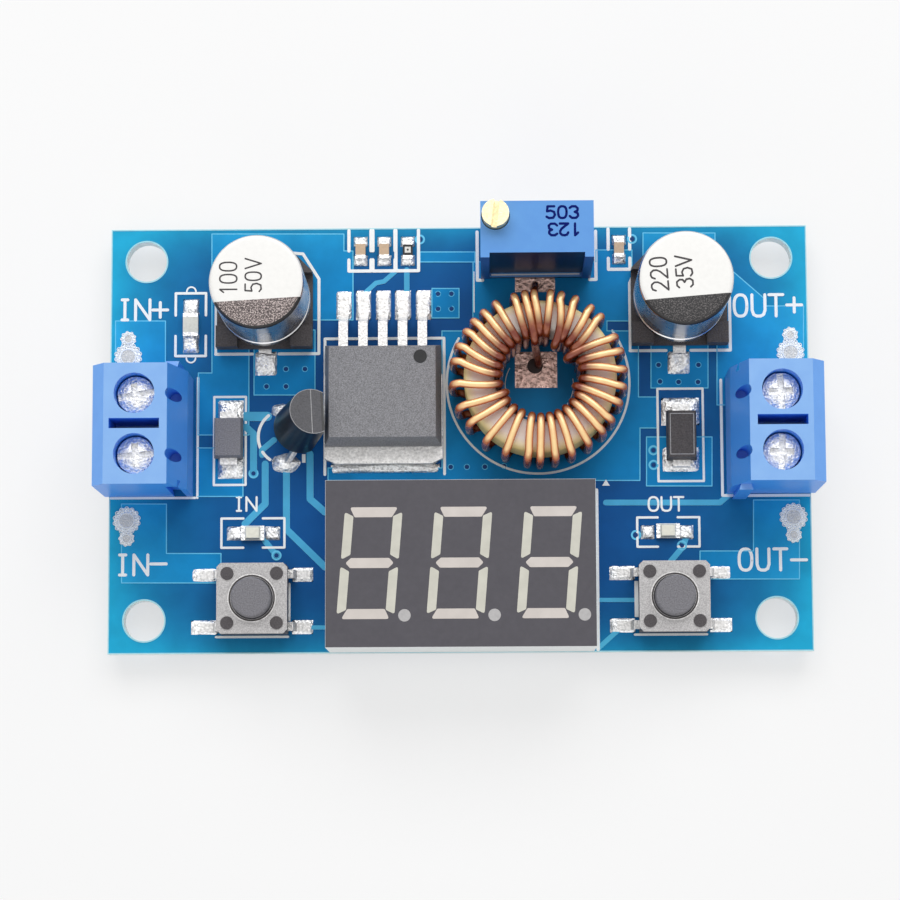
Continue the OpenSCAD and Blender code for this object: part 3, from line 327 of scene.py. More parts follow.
M = {
    # each board colour is the deep mask, then the paler painted light at the board's ends and edges
    "bare_mask": board_material("bare_mask", srgb(14, 84, 152), srgb(36, 178, 222)),
    "copper_mask": board_material("copper_mask", srgb(14, 138, 204), srgb(48, 182, 234)),
    "trace_mask": board_material("trace_mask", srgb(84, 182, 226), srgb(96, 208, 240)),
    "core": core_material(),
    "enamel": wire_material(),
    "terminal": lit_terminal_material(),
    "trimmer": trimmer_material(),
    "ceramic_tan": chip_material(),
    "segment_grey": speckled("segment_grey", srgb(74, 64, 64), srgb(204, 190, 186), 0.14),
    "segment_dark": speckled("segment_dark", srgb(26, 25, 27), srgb(104, 100, 100), 0.12),
}
for name, look in SURFACES.items():
    M[name] = grained(name, srgb(*look[0]), *look[1:])
for name, look in METALS.items():
    M[name] = grained(name, *look, metal=1.0)


def both(pair, *names):
    return [f"{one}_{name}" for one in pair for name in names]


ENDS, SIDES = ("input", "output"), ("left", "right")
MADE_OF = {
    "bare_mask": ["circuit_board"],
    "solder": ["wire_pad_solder", "underside_solder", "chip_terminations"],
    "tin": ["regulator_tab", "regulator_leads", "trimmer_pins", "display_pins", "transistor_legs",
            "input_diode_terminals", "catch_diode_terminals", "meter_chip_leads",
            *both(ENDS, "terminal_contacts", "capacitor_leads"), *both(SIDES, "switch_terminals")],
    "terminal": both(ENDS, "terminal_housing"),
    "zinc": both(ENDS, "positive_screw", "negative_screw"),
    "cage": both(ENDS, "positive_cage", "negative_cage"),
    "can_side": both(ENDS, "capacitor_can"),
    "black": ["catch_diode_body", "meter_chip_body", *both(ENDS, "capacitor_base")],
    "epoxy": ["regulator_case"],
    "core": ["inductor_core"], "enamel": ["inductor_winding"],
    "trimmer": ["trimmer_body"], "brass": ["trimmer_screw"],
    "white_plastic": ["display_housing", "led_bases"],
    "dark_face": ["display_face"], "segment": ["display_segments"],
    "pitch_black": ["transistor_body"], "led": ["led_lenses"],
    "ceramic_tan": ["chip_capacitor_bodies"], "glaze_black": ["chip_resistor_bodies"],
    "button": ["input_diode_body", *both(SIDES, "switch_button")],
    "rivet": both(SIDES, "switch_base"),
    "steel": both(SIDES, "switch_cover", "switch_dome"),
}
for key, nodes in MADE_OF.items():
    for node in nodes:
        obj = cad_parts[node]
        obj.data.materials.clear()
        obj.data.materials.append(M[key])


# ---------- flat shapes on a surface ----------

def piece(name, verts, faces, material, body="module", smooth=False):
    """A mesh piece from points in millimetres, riding on a body."""
    mesh = bpy.data.meshes.new(name)
    mesh.from_pydata([[c * MM for c in v] for v in verts], [], faces)
    mesh.materials.append(M[material])
    if smooth:
        for polygon in mesh.polygons:
            polygon.use_smooth = True
    obj = bpy.data.objects.new(name, mesh)
    bpy.context.scene.collection.objects.link(obj)
    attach(obj, body)
    return obj


STAGGER, STAGGER_STEPS = 0.0012, 13


def slabs(name, outlines, z, thick, material, body="module", place=None):
    """Flat plates cut to the outlines, from z above the board, or from z in the frame of place.

    Their tops differ slightly in height, so that overlapping strokes never share a face.
    """
    verts, faces = [], []
    floor = BOARD_TOP if place is None else 0
    for k, outline in enumerate(outlines):
        area = sum(a[0] * b[1] - b[0] * a[1] for a, b in zip(outline, outline[1:] + outline[:1]))
        if area < 0:
            outline = outline[::-1]
        n, start = len(outline), len(verts)
        top = floor + z + thick + STAGGER * (k % STAGGER_STEPS)
        verts += [(p[0], p[1], floor + z) for p in outline]
        verts += [(p[0], p[1], top) for p in outline]
        faces.append([start + n + i for i in range(n)])
        faces.append([start + i for i in reversed(range(n))])
        faces += [[start + i, start + (i + 1) % n, start + n + (i + 1) % n, start + n + i]
                  for i in range(n)]
    if place is not None:
        verts = [tuple(place @ Vector(v)) for v in verts]
    return piece(name, verts, faces, material, body)


def rect(x0, y0, x1, y1):
    return [(x0, y0), (x1, y0), (x1, y1), (x0, y1)]


def polar(x, y, r, degrees):
    return x + r * math.cos(math.radians(degrees)), y + r * math.sin(math.radians(degrees))


def arc(x, y, r, start, stop, steps):
    """Points along a circle from one angle to another, in degrees."""
    return [polar(x, y, r, start + (stop - start) * i / steps) for i in range(steps + 1)]


def disc(x, y, r, steps):
    return arc(x, y, r, 0, 360, steps)[:-1]


def bar(a, b, width, round_ends=True):
    """The outline of a straight stroke from a to b."""
    dx, dy = b[0] - a[0], b[1] - a[1]
    length = math.hypot(dx, dy) or 1e-9
    ux, uy = dx / length, dy / length
    r = width / 2
    if not round_ends:
        return [(a[0] - uy * r, a[1] + ux * r), (a[0] + uy * r, a[1] - ux * r),
                (b[0] + uy * r, b[1] - ux * r), (b[0] - uy * r, b[1] + ux * r)]
    turn = math.degrees(math.atan2(uy, ux))
    return arc(*b, r, turn - 90, turn + 90, 6) + arc(*a, r, turn + 90, turn + 270, 6)


def stroke(points, width, closed=False):
    """Outlines of a line drawn through the points."""
    line = points + points[:1] if closed else points
    return [bar(a, b, width) for a, b in zip(line, line[1:])]


def strokes(lines):
    """Outlines of several lines, each given as its points and its width."""
    return [outline for points, width in lines for outline in stroke(points, width)]


def edges(shapes, width):
    """Outlines of a line drawn round each shape."""
    return [outline for shape in shapes for outline in stroke(shape, width, closed=True)]


def circles(places, r, width, steps):
    """Outlines of a circle drawn round each place."""
    return strokes([(arc(x, y, r, 0, 360, steps), width) for x, y in places])


def box_line(x0, y0, x1, y1, width):
    return stroke(rect(x0, y0, x1, y1), width, closed=True)


def unit_oval(power=2.6, steps=28):
    """A squared oval, as in a round letter, as a closed line in a box one unit wide and high."""
    points = []
    for i in range(steps):
        c, s = math.cos(2 * math.pi * i / steps), math.sin(2 * math.pi * i / steps)
        k = (abs(c) ** power + abs(s) ** power) ** (-1 / power)
        points.append((0.5 + 0.5 * k * c, 0.5 + 0.5 * k * s))
    return points + points[:1]


# Letters and digits as lines in a box one unit wide and high
GLYPHS = {
    "O": [unit_oval()], "0": [unit_oval()],
    "I": [[(0.5, 0), (0.5, 1)], [(0.15, 0), (0.85, 0)], [(0.15, 1), (0.85, 1)]],
    "N": [[(0, 0), (0, 1), (1, 0), (1, 1)]],
    "U": [[(0, 1), (0, 0.28), (0.12, 0.07), (0.34, 0), (0.66, 0), (0.88, 0.07), (1, 0.28), (1, 1)]],
    "T": [[(0, 1), (1, 1)], [(0.5, 1), (0.5, 0)]],
    "V": [[(0, 1), (0.5, 0), (1, 1)]],
    "+": [[(0, 0.5), (1, 0.5)], [(0.5, 0), (0.5, 1)]],
    "-": [[(0, 0.5), (1, 0.5)]],
    "1": [[(0.15, 0.78), (0.5, 1), (0.5, 0)]],
    "2": [[(0, 0.76), (0.14, 0.94), (0.4, 1), (0.72, 0.98), (0.96, 0.82), (0.96, 0.62),
           (0.76, 0.42), (0, 0), (1, 0)]],
    "3": [[(0, 0.86), (0.25, 0.99), (0.7, 0.99), (0.95, 0.82), (0.92, 0.62), (0.6, 0.52),
           (0.95, 0.4), (1, 0.18), (0.75, 0.01), (0.25, 0.01), (0, 0.16)]],
    "5": [[(0.92, 1), (0.12, 1), (0.06, 0.58), (0.5, 0.64), (0.9, 0.52), (1, 0.28),
           (0.8, 0.03), (0.3, 0), (0, 0.12)]],
}


def glyph(char, x, y, width, height, line, turn=0.0):
    """One character centred on (x, y), turned by turn degrees."""
    c, s = math.cos(math.radians(turn)), math.sin(math.radians(turn))
    outlines = []
    for points in GLYPHS[char]:
        placed = []
        for px, py in points:
            dx, dy = (px - 0.5) * width, (py - 0.5) * height
            placed.append((x + c * dx - s * dy, y + s * dx + c * dy))
        outlines += stroke(placed, line)
    return outlines


def rounded(outline, r, steps=4):
    """The outline with each corner rounded to radius r, or less where an edge is short."""
    points = []
    n = len(outline)
    for i in range(n):
        at = Vector(outline[i])
        to_last, to_next = Vector(outline[i - 1]) - at, Vector(outline[(i + 1) % n]) - at
        half = to_last.angle(to_next) / 2
        cut = min(r / math.tan(half), to_last.length * 0.45, to_next.length * 0.45)
        a, b = at + to_last.normalized() * cut, at + to_next.normalized() * cut
        for k in range(steps + 1):
            t = k / steps
            points.append(tuple(a * (1 - t) ** 2 + at * 2 * t * (1 - t) + b * t ** 2))
    return points


# ---------- the board's copper ----------

COPPER = [
    [(-21.49, 18.09), (-9.97, 18.01), (-9.97, 16.51), (-9.18, 16.5), (-9.18, 10.41), (-18.22, 10.47),
     (-18.2, 0.39), (-22.6, 0.42), (-22.6, 5.84), (-21.42, 5.83)],
    [(-22.59, -0.71), (-18.7, -0.74), (-18.68, -4.95), (-22.56, -4.93)],
    [(-17.79, 9.59), (-12.48, 9.55), (-12.48, 3.85), (-17.76, 3.88)],
    [(1.27, 15.46), (11.96, 15.38), (11.97, 16.44), (15.1, 16.42), (15.03, 10.16), (12.86, 10.18),
     (12.85, 9.3), (15.58, 9.28), (15.51, 3.5), (17.11, 3.49), (17.08, 0.79), (15.61, 0.8),
     (15.55, -3.76), (-11.34, -3.61), (-11.34, -2.52), (-1.5, -2.58), (-1.46, 9.39), (1.23, 9.37)],
    [(16.16, 0.01), (21.81, -0.02), (21.74, -4.28), (16.11, -4.24)],
    [(16.66, 8.48), (21.59, 8.45), (21.53, 4.25), (16.6, 4.28)],
    [(16.08, 17.92), (22.34, 17.87), (22.31, 15.84), (26.67, 11.93), (26.66, 11.4), (29.91, 11.38),
     (29.74, 2.71), (22.28, 2.76), (22.38, 9.32), (15.97, 9.37)],
    [(-29.17, -5.54), (-25.28, -5.57), (-25.25, -9.85), (-20.55, -9.88), (-20.54, -12.42),
     (-29.1, -12.37)],
    [(25.29, -5.51), (29.24, -5.53), (29.11, -12.34), (20.59, -12.3), (20.63, -9.89), (25.21, -9.91)],
    [(-29.84, 10.46), (-25.49, 10.43), (-25.46, 6.12), (-29.8, 6.15)],
    [(-3.34, 16.37), (1.45, 16.34), (1.44, 15.45), (-3.35, 15.49)],
    [(-2.31, 13.14), (0.04, 13.12), (0.03, 10.53), (-2.32, 10.54)],
]
TRACES = [
    ([(-4.5, 14.79), (-4.5, 12.85)], 0.48),
    ([(-5.35, 14.79), (-6.48, 13.79), (-7.18, 13.66), (-8.05, 12.87)], 0.4),
    ([(-16.77, -2.14), (-16.76, -5.61), (-18.5, -7.34)], 0.6),
    ([(-18.45, 1.09), (-17.79, 0.48), (-17.78, -2.96)], 0.6),
    ([(-14.93, -2.5), (-14.92, -7.83), (-11.6, -11.08)], 0.6),
    ([(-12.9, -1.29), (-12.89, -5.2), (-11.6, -6.35)], 0.6),
    ([(-18.45, 2.01), (-16.6, 2.0)], 0.8),
    ([(-16.77, -8.82), (-15.77, -10.07)], 0.5),
    ([(12.6, -5.66), (22.41, -5.71), (23.98, -4.38)], 0.5),
    ([(19.44, -8.76), (19.17, -9.53), (18.13, -10.73)], 0.5),
    ([(11.8, -14.05), (14.91, -14.07)], 0.36),
    ([(11.8, -18.2), (13.7, -16.5)], 0.42),
    ([(-13.22, -16.28), (-11.2, -16.29)], 0.36),
    ([(-17.05, -1.36), (-17.05, -0.92), (-16.02, -0.06)], 0.5),
]
slabs("copper_relief", COPPER, 0, 0.035, "copper_mask")
slabs("copper_edges", edges(COPPER, 0.09), 0, 0.045, "copper_edge")
RIM_INSET = 0.05
RIM_X, RIM_Y = BOARD_HALF_X - RIM_INSET, BOARD_HALF_Y - RIM_INSET
slabs("board_rim", box_line(-RIM_X, -RIM_Y, RIM_X, RIM_Y, 0.1), 0, 0.03, "pale_edge")
slabs("hole_rims", circles(HOLES, 1.81, 0.12, 48), 0, 0.03, "pale_edge")
slabs("trace_relief", strokes(TRACES), 0, 0.045, "trace_mask")

VIAS = [(-15, 6.14), (-13.35, 6.13), (-16.68, 4.62), (-14.99, 4.61), (17.28, 6.29), (20.73, 6.27),
        (17.39, 4.84), (18.99, 4.79), (20.67, 4.78), (-1.79, 12.66), (-0.62, 12.66), (-1.79, 11.34),
        (-0.62, 11.34), (-0.75, -2.5), (0.65, -2.5), (2.2, -2.5), (3.85, -2.45)]
RINGED_VIAS = [(-17.78, -2.96), (-15.77, -10.07), (16.74, -1.15), (16.74, -2.42), (-3.34, 17.48),
               (15.12, 17.39), (15.15, -8.48), (19.09, -9.4)]
VIA_R = 0.19
slabs("vias", [disc(x, y, VIA_R, 12) for x, y in VIAS + RINGED_VIAS], 0, 0.05, "via")
slabs("via_rings", circles(RINGED_VIAS, 0.36, 0.16, 16) + circles(VIAS, 0.24, 0.05, 14),
      0, 0.045, "copper_edge")


# ---------- the board's printed markings ----------

# terminal block outlines
silk = strokes([
    ([(-22.62, 5.4), (-22.62, -5.05)], 0.2),
    ([(-30.1, -5.05), (-22.8, -5.05)], 0.2),
    ([(22.64, 4.94), (22.64, -5.1), (23.5, -5.12)], 0.24),
    ([(24.7, -5.12), (30.1, -5.12)], 0.24),
])
# capacitors
silk += strokes([
    ([(-21.1, 7.47), (-21.1, 13.9)], 0.22),
    ([(-21.1, 7.47), (-17.9, 7.47)], 0.26),
    ([(-15.6, 7.47), (-12.14, 7.47), (-12.14, 14.05), (-13.54, 16.27), (-15.2, 16.4)], 0.26),
    ([(14.84, 7.55), (14.84, 13.5), (15.6, 15.2)], 0.22),
    ([(14.84, 7.55), (17.95, 7.55)], 0.26),
    ([(20.1, 7.55), (23.51, 7.55), (23.51, 12.2)], 0.26),
])
# regulator
silk += stroke([(-11.61, 8.76), (-11.61, -3.1)], 0.24)
silk += stroke([(-11.61, 8.76), (-1.28, 8.76), (-1.28, -3.1)], 0.24)
# chips along the north edge
for x0, x1 in ((-9.53, -7.61), (-7.44, -5.52), (13.04, 14.91)):
    silk += strokes([
        ([(x0, 18.3), (x0, 16.5)], 0.28),
        ([(x1, 18.3), (x1, 16.5)], 0.28),
        ([(x0, 15.7), (x0, 14.72), (x1, 14.72), (x1, 15.7)], 0.28),
    ])
silk += stroke([(-5.44, 18.3), (-5.44, 14.72), (-3.47, 14.72), (-3.47, 18.3)], 0.28)
# trimmer
silk += strokes([
    ([(2.1, 13.84), (1.64, 13.84), (1.64, 18.1)], 0.28),
    ([(11.4, 13.84), (11.95, 13.84), (11.95, 18.1)], 0.28),
    ([(1.34, 14.57), (1.34, 11.04)], 0.1),
])
# inductor
silk += strokes([
    (arc(6.84, 4.78, 7.9, 150, 395, 90), 0.2),
    (arc(*RING, 2.95, 150, 262, 24), 0.08),
    (arc(*RING, 2.95, -75, 10, 18), 0.08),
])
# display, and the mark at its corner
silk += stroke([(11.8, -4.57), (11.8, -18.3)], 0.3)
silk += [[(12.3, -4.2), (12.95, -4.2), (12.62, -3.65)]]
# small regulator
silk += stroke(arc(-14.98, 0.2, 2.4, 125, 235, 30), 0.26)
silk += [bar((-13.44, -1.3), (-13.44, -2.05), 0.3, False)]
# input chip
for y0, y1 in ((12.85, 10.91), (7.33, 9.1)):
    silk += stroke([(-24.6, y1), (-24.6, y0), (-21.97, y0), (-21.97, y1)], 0.22)
silk += stroke(arc(-23.25, 13.0, 0.4, 0, 180, 10), 0.14)
silk += stroke(arc(-23.25, 7.15, 0.4, 180, 360, 10), 0.14)
# diodes
silk += box_line(-21.2, -3.95, -18.46, 3.72, 0.2) + box_line(17.15, -3.84, 21.05, 4.2, 0.2)
# indicator lights: a box with a gap in its north and south sides
for x0, x1, y0, y1, gap0, gap1 in ((-20.52, -15.09, -6.86, -9.39, -18.63, -16.95),
                                   (15.27, 20.6, -6.97, -9.5, 17.03, 18.75)):
    for y in (y0, y1):
        silk += stroke([(x0, y), (gap0, y)], 0.2) + stroke([(gap1, y), (x1, y)], 0.2)
    for x in (x0, x1):
        silk += stroke([(x, y0), (x, y1)], 0.2)
# switches
silk += stroke([(-14.65, -12.54), (-14.65, -15.63)], 0.2)
silk += stroke([(-20.94, -17.07), (-14.76, -17.07)], 0.2)
silk += [bar((15.13, -12.44), (15.13, -15.53), 0.34, False)]
silk += stroke([(14.96, -17.04), (21.12, -17.04)], 0.2)

# words at the terminals and at the indicator lights: the line's width, then each letter with its
# west, east, south and north side
WORDS = [(0.26, [
    ("I", -29.38, -28.67, 10.54, 12.31), ("N", -28.1, -26.85, 10.54, 12.31),
    ("+", -26.6, -25.3, 10.75, 12.05),
    ("I", -29.39, -28.64, -11.69, -9.96), ("N", -28.05, -26.85, -11.69, -9.96),
    ("-", -26.6, -25.26, -11.4, -10.1),
    ("O", 23.9, 25.0, 10.52, 12.39), ("U", 25.45, 26.57, 10.52, 12.39),
    ("T", 26.92, 28.13, 10.52, 12.39), ("+", 28.45, 29.75, 10.85, 12.1),
    ("O", 23.97, 25.06, -11.56, -9.74), ("U", 25.5, 26.53, -11.56, -9.74),
    ("T", 26.96, 28.07, -11.56, -9.74), ("-", 28.45, 29.75, -11.35, -10.05),
]), (0.18, [
    ("I", -19.28, -18.76, -6.2, -5.02), ("N", -18.38, -17.5, -6.2, -5.02),
    ("O", 16.27, 17.1, -6.4, -5.22), ("U", 17.38, 18.2, -6.4, -5.22),
    ("T", 18.46, 19.26, -6.4, -5.22),
])]
for line, word in WORDS:
    for char, x0, x1, y0, y1 in word:
        silk += glyph(char, (x0 + x1) / 2, (y0 + y1) / 2, x1 - x0, y1 - y0, line)
slabs("silk_markings", silk, 0.02, 0.03, "silk")


# ---------- solder fillets ----------

def pillow(x0, y0, x1, y1, height, seed, steps=10):
    """A low solder mound over a rectangle, as (verts, faces), higher in the middle and uneven."""
    verts, faces = [], []
    for j in range(steps + 1):
        for i in range(steps + 1):
            u, v = i / steps, j / steps
            rise = (1 - (2 * u - 1) ** 4) * (1 - (2 * v - 1) ** 4)
            wave = 1 + 0.25 * math.sin(7 * u + seed) * math.cos(6 * v + 2.3 * seed)
            verts.append((x0 + u * (x1 - x0), y0 + v * (y1 - y0), BOARD_TOP + height * rise ** 0.6 * wave))
    for j in range(steps):
        for i in range(steps):
            a = j * (steps + 1) + i
            faces.append([a, a + 1, a + steps + 2, a + steps + 1])
    return verts, faces


def shells(rings, steps):
    """Faces from a middle point out through rings of points, the middle being point 0."""
    faces = [[0, 1 + i, 1 + (i + 1) % steps] for i in range(steps)]
    for j in range(1, rings):
        a, b = 1 + (j - 1) * steps, 1 + j * steps
        faces += [[a + i, b + i, b + (i + 1) % steps, a + (i + 1) % steps] for i in range(steps)]
    return faces


def round_joint(x, y, rx, ry, height, seed, rings=7, steps=28):
    """A round solder joint, as (verts, faces), high in the middle, with a ripple on it."""
    verts = [(x, y, BOARD_TOP + height)]
    for j in range(1, rings + 1):
        u = j / rings
        for i in range(steps):
            a = 2 * math.pi * i / steps
            wave = 1 + 0.05 * math.sin(5 * a + seed) * u
            rise = height * (1 - u ** 2.2) * (1 + 0.25 * math.sin(3 * a + 9 * u + seed) * u * (1 - u))
            verts.append((x + rx * u * wave * math.cos(a), y + ry * u * wave * math.sin(a), BOARD_TOP + rise))
    return verts, shells(rings, steps)


# Soldered pads, as two corners and a height
PADS = [
    (-17.69, 5.54, -15.74, 7.7, 0.3), (18.03, 5.45, 20.02, 7.5, 0.3),
    (-10.66, 10.4, -9.27, 12.98, 0.2), (-8.92, 10.4, -7.62, 12.98, 0.2), (-7.18, 10.4, -5.88, 12.98, 0.2),
    (-5.53, 10.4, -4.14, 12.98, 0.2), (-3.71, 10.4, -2.32, 12.98, 0.2),
    (-11.1, -3.0, -1.7, -2.2, 0.35),
    (-20.9, 1.5, -18.6, 3.45, 0.3), (-20.9, -3.45, -18.6, -1.5, 0.3),
    (17.45, 1.0, 20.74, 3.4, 0.3), (17.45, -3.06, 20.74, -0.85, 0.3),
    (-20.05, -8.75, -18.7, -7.55, 0.22), (-16.75, -8.75, -15.45, -7.55, 0.22),
    (15.55, -8.85, 16.75, -7.65, 0.22), (18.85, -8.85, 20.1, -7.65, 0.22),
    (-23.95, 10.9, -22.55, 12.34, 0.35), (-23.95, 7.59, -22.55, 9.2, 0.35),
]
CHIP_PAD = 0.62
for x in (-8.5, -6.45, -4.4, 13.95):
    for south, north in ((16.85, 17.75), (15.15, 16.1)):
        PADS.append((x - CHIP_PAD, south, x + CHIP_PAD, north, 0.3))
SWITCH_LEG, SWITCH_LEG_HALF, SWITCH_PAD_START = 2.25, 0.6, 3.2
for x, west, east in ((SWITCHES["left"], -23.08, -12.62), (SWITCHES["right"], 12.84, 23.28)):
    for y in (SWITCH_Y + SWITCH_LEG, SWITCH_Y - SWITCH_LEG):
        south, north = y - SWITCH_LEG_HALF, y + SWITCH_LEG_HALF
        PADS.append((west, south, x - SWITCH_PAD_START, north, 0.12))
        PADS.append((x + SWITCH_PAD_START, south, east, north, 0.12))

verts, faces = [], []
shapes = [pillow(*pad, seed) for seed, pad in enumerate(PADS)]
shapes += [round_joint(-15.0, -2.1, 1.25, 0.85, 0.5, 1), round_joint(-15.45, 2.5, 0.8, 0.6, 0.35, 2)]
for points, sides in shapes:
    faces += [[i + len(verts) for i in side] for side in sides]
    verts += points
fillets = piece("solder_fillets", verts, faces, "solder", smooth=True)


# ---------- the inductor's winding ----------

def tube(name, path, radius, material, sides=10):
    """A round wire along the points of path, in millimetres."""
    points = [Vector(p) for p in path]
    along = [(points[min(i + 1, len(points) - 1)] - points[max(i - 1, 0)]).normalized()
             for i in range(len(points))]
    side = along[0].orthogonal().normalized()
    verts, faces = [], []
    for i, (at, ahead) in enumerate(zip(points, along)):
        side = (side - ahead * side.dot(ahead)).normalized()
        other = ahead.cross(side)
        for k in range(sides):
            turn = 2 * math.pi * k / sides
            verts.append(tuple(at + radius * (math.cos(turn) * side + math.sin(turn) * other)))
        if i:
            a, b = (i - 1) * sides, i * sides
            faces += [[a + k, a + (k + 1) % sides, b + (k + 1) % sides, b + k] for k in range(sides)]
    faces += [list(reversed(range(sides))), [len(verts) - sides + k for k in range(sides)]]
    return piece(name, verts, faces, material, smooth=True)


# Each turn as the angles of its outer and inner end, how far it stands out, and how far in
TURNS = [
    (94, 91, 7.12, 3.52), (82.5, 82, 7.12, 3.52), (75, 64.5, 7.15, 2.75), (65, 59.5, 7.22, 3.5),
    (53, 48.5, 7.22, 3.5), (44, 38, 7.2, 3.5), (27, 32, 7.12, 2.65), (16.5, 19, 7.1, 3.5),
    (3.5, 9, 7.1, 3.5), (-8.5, -5.5, 7.1, 3.5), (-20, -18, 7.1, 3.1), (-33, -28.5, 7.12, 3.5),
    (-43, -40.5, 7.12, 3.5), (-55.5, -53.5, 7.12, 3.5), (-68.5, -66, 7.15, 3.5), (-80, -78, 7.15, 3.5),
    (-90.5, -90, 7.15, 3.5), (-99, -102, 7.15, 3.5), (-114.5, -116.5, 7.2, 3.5),
    (-129.5, -129, 7.25, 3.5), (-145.5, -143, 7.3, 3.5), (-158, -153.5, 7.42, 3.25),
    (-174, -168, 7.42, 3.5), (-189.5, -181.5, 7.42, 3.5), (-200, -192.5, 7.38, 3.5),
    (-211, -204, 7.32, 3.5), (-219.5, -215.5, 7.3, 3.5), (-228.5, -226.5, 7.22, 3.5),
    (-238.5, -237.5, 7.22, 3.5), (-252, -250.5, 7.12, 3.5), (-259.5, -261, 7.12, 2.85),
]
WIRE_R = 0.34
LOW, HIGH, CORNER = 0.4, 6.36, 0.62  # the wire's lowest and highest run, and its bends' radius
INSIDE = 3.52  # the radius at which the turns go down inside the ring
ACROSS_STEPS = 6
# The wire's two ends, as radius, angle and height above the board
FIRST_END = [(8.72, 92, 0.06), (8.71, 92, 0.5), (8.5, 92, 1.05), (8.05, 92.5, 1.7), (7.5, 93.5, 2.5)]
LAST_END = [(2.85, -261.5, 4.6), (2.7, -263, 2.9), (2.35, -265, 1.6), (1.95, -267, 0.85),
            (1.76, -268, 0.4), (1.75, -268, 0.05)]


def on_ring(r, angle, z):
    return (*polar(*RING, r, angle), BOARD_TOP + z)


def corner(r, z, start, angle):
    """A quarter bend of the wire about a centre at radius r and height z."""
    return [(bend_r, angle, bend_z) for bend_r, bend_z in arc(r, z, CORNER, start, start + 90, 4)]


def wire_path():
    """The whole wire as radius, angle and height above the board: up, over and down, turn by turn."""
    path = list(FIRST_END)
    for i, (outer_turn, inner_turn, outer, inner) in enumerate(TURNS):
        if i:
            path += corner(outer - CORNER, LOW + CORNER, 270, outer_turn)
        bulge = 0.06 + 0.09 * ((i * 7) % 5) / 4
        path += [(outer + bulge * 0.6, outer_turn, 2.2), (outer + bulge, outer_turn, 3.8)]
        path += corner(outer - CORNER, HIGH - CORNER, 0, outer_turn)
        for k in range(1, ACROSS_STEPS):
            share = k / ACROSS_STEPS
            path.append((outer - CORNER + share * (inner + 2 * CORNER - outer),
                         outer_turn + share ** 0.9 * (inner_turn - outer_turn),
                         HIGH + 0.07 * math.sin(math.pi * share)))
        path += corner(inner + CORNER, HIGH - CORNER, 90, inner_turn)
        if i < len(TURNS) - 1:
            path += [(min(inner + 0.1, INSIDE), inner_turn, 4.6), (INSIDE, inner_turn, 2.8)]
            path += corner(INSIDE + CORNER, LOW + CORNER, 180, inner_turn)
    return path + LAST_END


winding = tube("wound_wire", [on_ring(*p) for p in wire_path()], WIRE_R, "enamel")
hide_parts("inductor_winding")

# the bare pads under the ring and north of it, and the hole in the first of them as a dark disc of painted
# shade
PAD_HOLE = (6.59, 6.27)
slabs("ring_pads", [rect(4.85, 4.35, 8.5, 7.5), rect(4.91, 12.76, 8.38, 14.02)], 0.03, 0.04, "tinned_pad")
slabs("ring_pad_hole", [disc(*PAD_HOLE, 0.68, 28)], 0.05, 0.04, "hole_shade")
slabs("ring_pad_rim", circles([PAD_HOLE], 0.72, 0.07, 28), 0.05, 0.045, "tinned_pad")


# ---------- the capacitors' tops ----------

CAN_TOP, CAN_FLAT_R, CAN_BEND = 10.3, 3.55, 0.45


def can_cap(name, at, lift, chord, keep_south, material, reach):
    """A skin over a can's top and the first reach degrees of its edge, on one side of the chord."""
    profile = [(r, CAN_TOP + lift) for r in (0.0, 2.0, CAN_FLAT_R)]
    profile += [polar(CAN_FLAT_R, CAN_TOP - CAN_BEND, CAN_BEND + lift, 90 - t) for t in range(9, reach, 9)]
    steps = 72
    verts = [(at[0], at[1], BOARD_TOP + profile[0][1])]
    for r, z in profile[1:]:
        verts += [(x, y, BOARD_TOP + z) for x, y in disc(*at, r, steps)]
    obj = piece(name, verts, shells(len(profile) - 1, steps), material)
    (x0, y0), (x1, y1) = chord
    mesh = bmesh.new()
    mesh.from_mesh(obj.data)
    bmesh.ops.bisect_plane(mesh, geom=mesh.verts[:] + mesh.edges[:] + mesh.faces[:], dist=1e-7,
                           plane_co=(x0 * MM, y0 * MM, 0),
                           plane_no=Vector((y1 - y0, x0 - x1, 0)).normalized(),
                           clear_outer=not keep_south, clear_inner=keep_south)
    for face in mesh.faces:
        face.smooth = True
    mesh.to_mesh(obj.data)
    mesh.free()


# Each can's middle, the chord and the look of its dark segment, and its printed characters:
# their turn, line width, and each one's place and size
CANS = [
    ("input_can", (-16.8, 12), ((-20.3, 10.26), (-13.04, 10.68)), "segment_grey", 90, 0.13,
     [("1", -19.12, 11.32, 0.7, 1.42), ("0", -19.12, 12.22, 0.72, 1.42), ("0", -19.14, 13.25, 0.72, 1.42),
      ("5", -17.04, 11.47, 0.68, 1.34), ("0", -17.04, 12.42, 0.7, 1.34), ("V", -17.04, 13.5, 0.84, 1.34)]),
    ("output_can", (19.1, 12.1), ((15.5, 10.19), (22.7, 10.77)), "segment_dark", 94, 0.15,
     [("2", 16.89, 11.36, 0.74, 1.4), ("2", 16.82, 12.38, 0.74, 1.4), ("0", 16.75, 13.39, 0.72, 1.4),
      ("3", 18.97, 11.6, 0.7, 1.36), ("5", 18.92, 12.53, 0.7, 1.36), ("V", 18.86, 13.5, 0.84, 1.36)]),
]
PRINT_LIFT, SEGMENT_LIFT = 0.012, 0.018
for name, at, chord, speckle, turn, line, words in CANS:
    can_cap(f"{name}_print", at, PRINT_LIFT, chord, False, "can_print", 46)
    # the shoulder on the segment's side in pitch black: a painted dark reflection and painted shade where it
    # turns south, away from the light
    can_cap(f"{name}_edge", at, PRINT_LIFT, chord, True, "pitch_black", 73)
    can_cap(f"{name}_segment", at, SEGMENT_LIFT, chord, True, speckle, 28)
    rating = [o for char, x, y, w, h in words for o in glyph(char, x, y, w, h, line, turn)]
    slabs(f"{name}_rating", rating, CAN_TOP + PRINT_LIFT, 0.006, "ink")


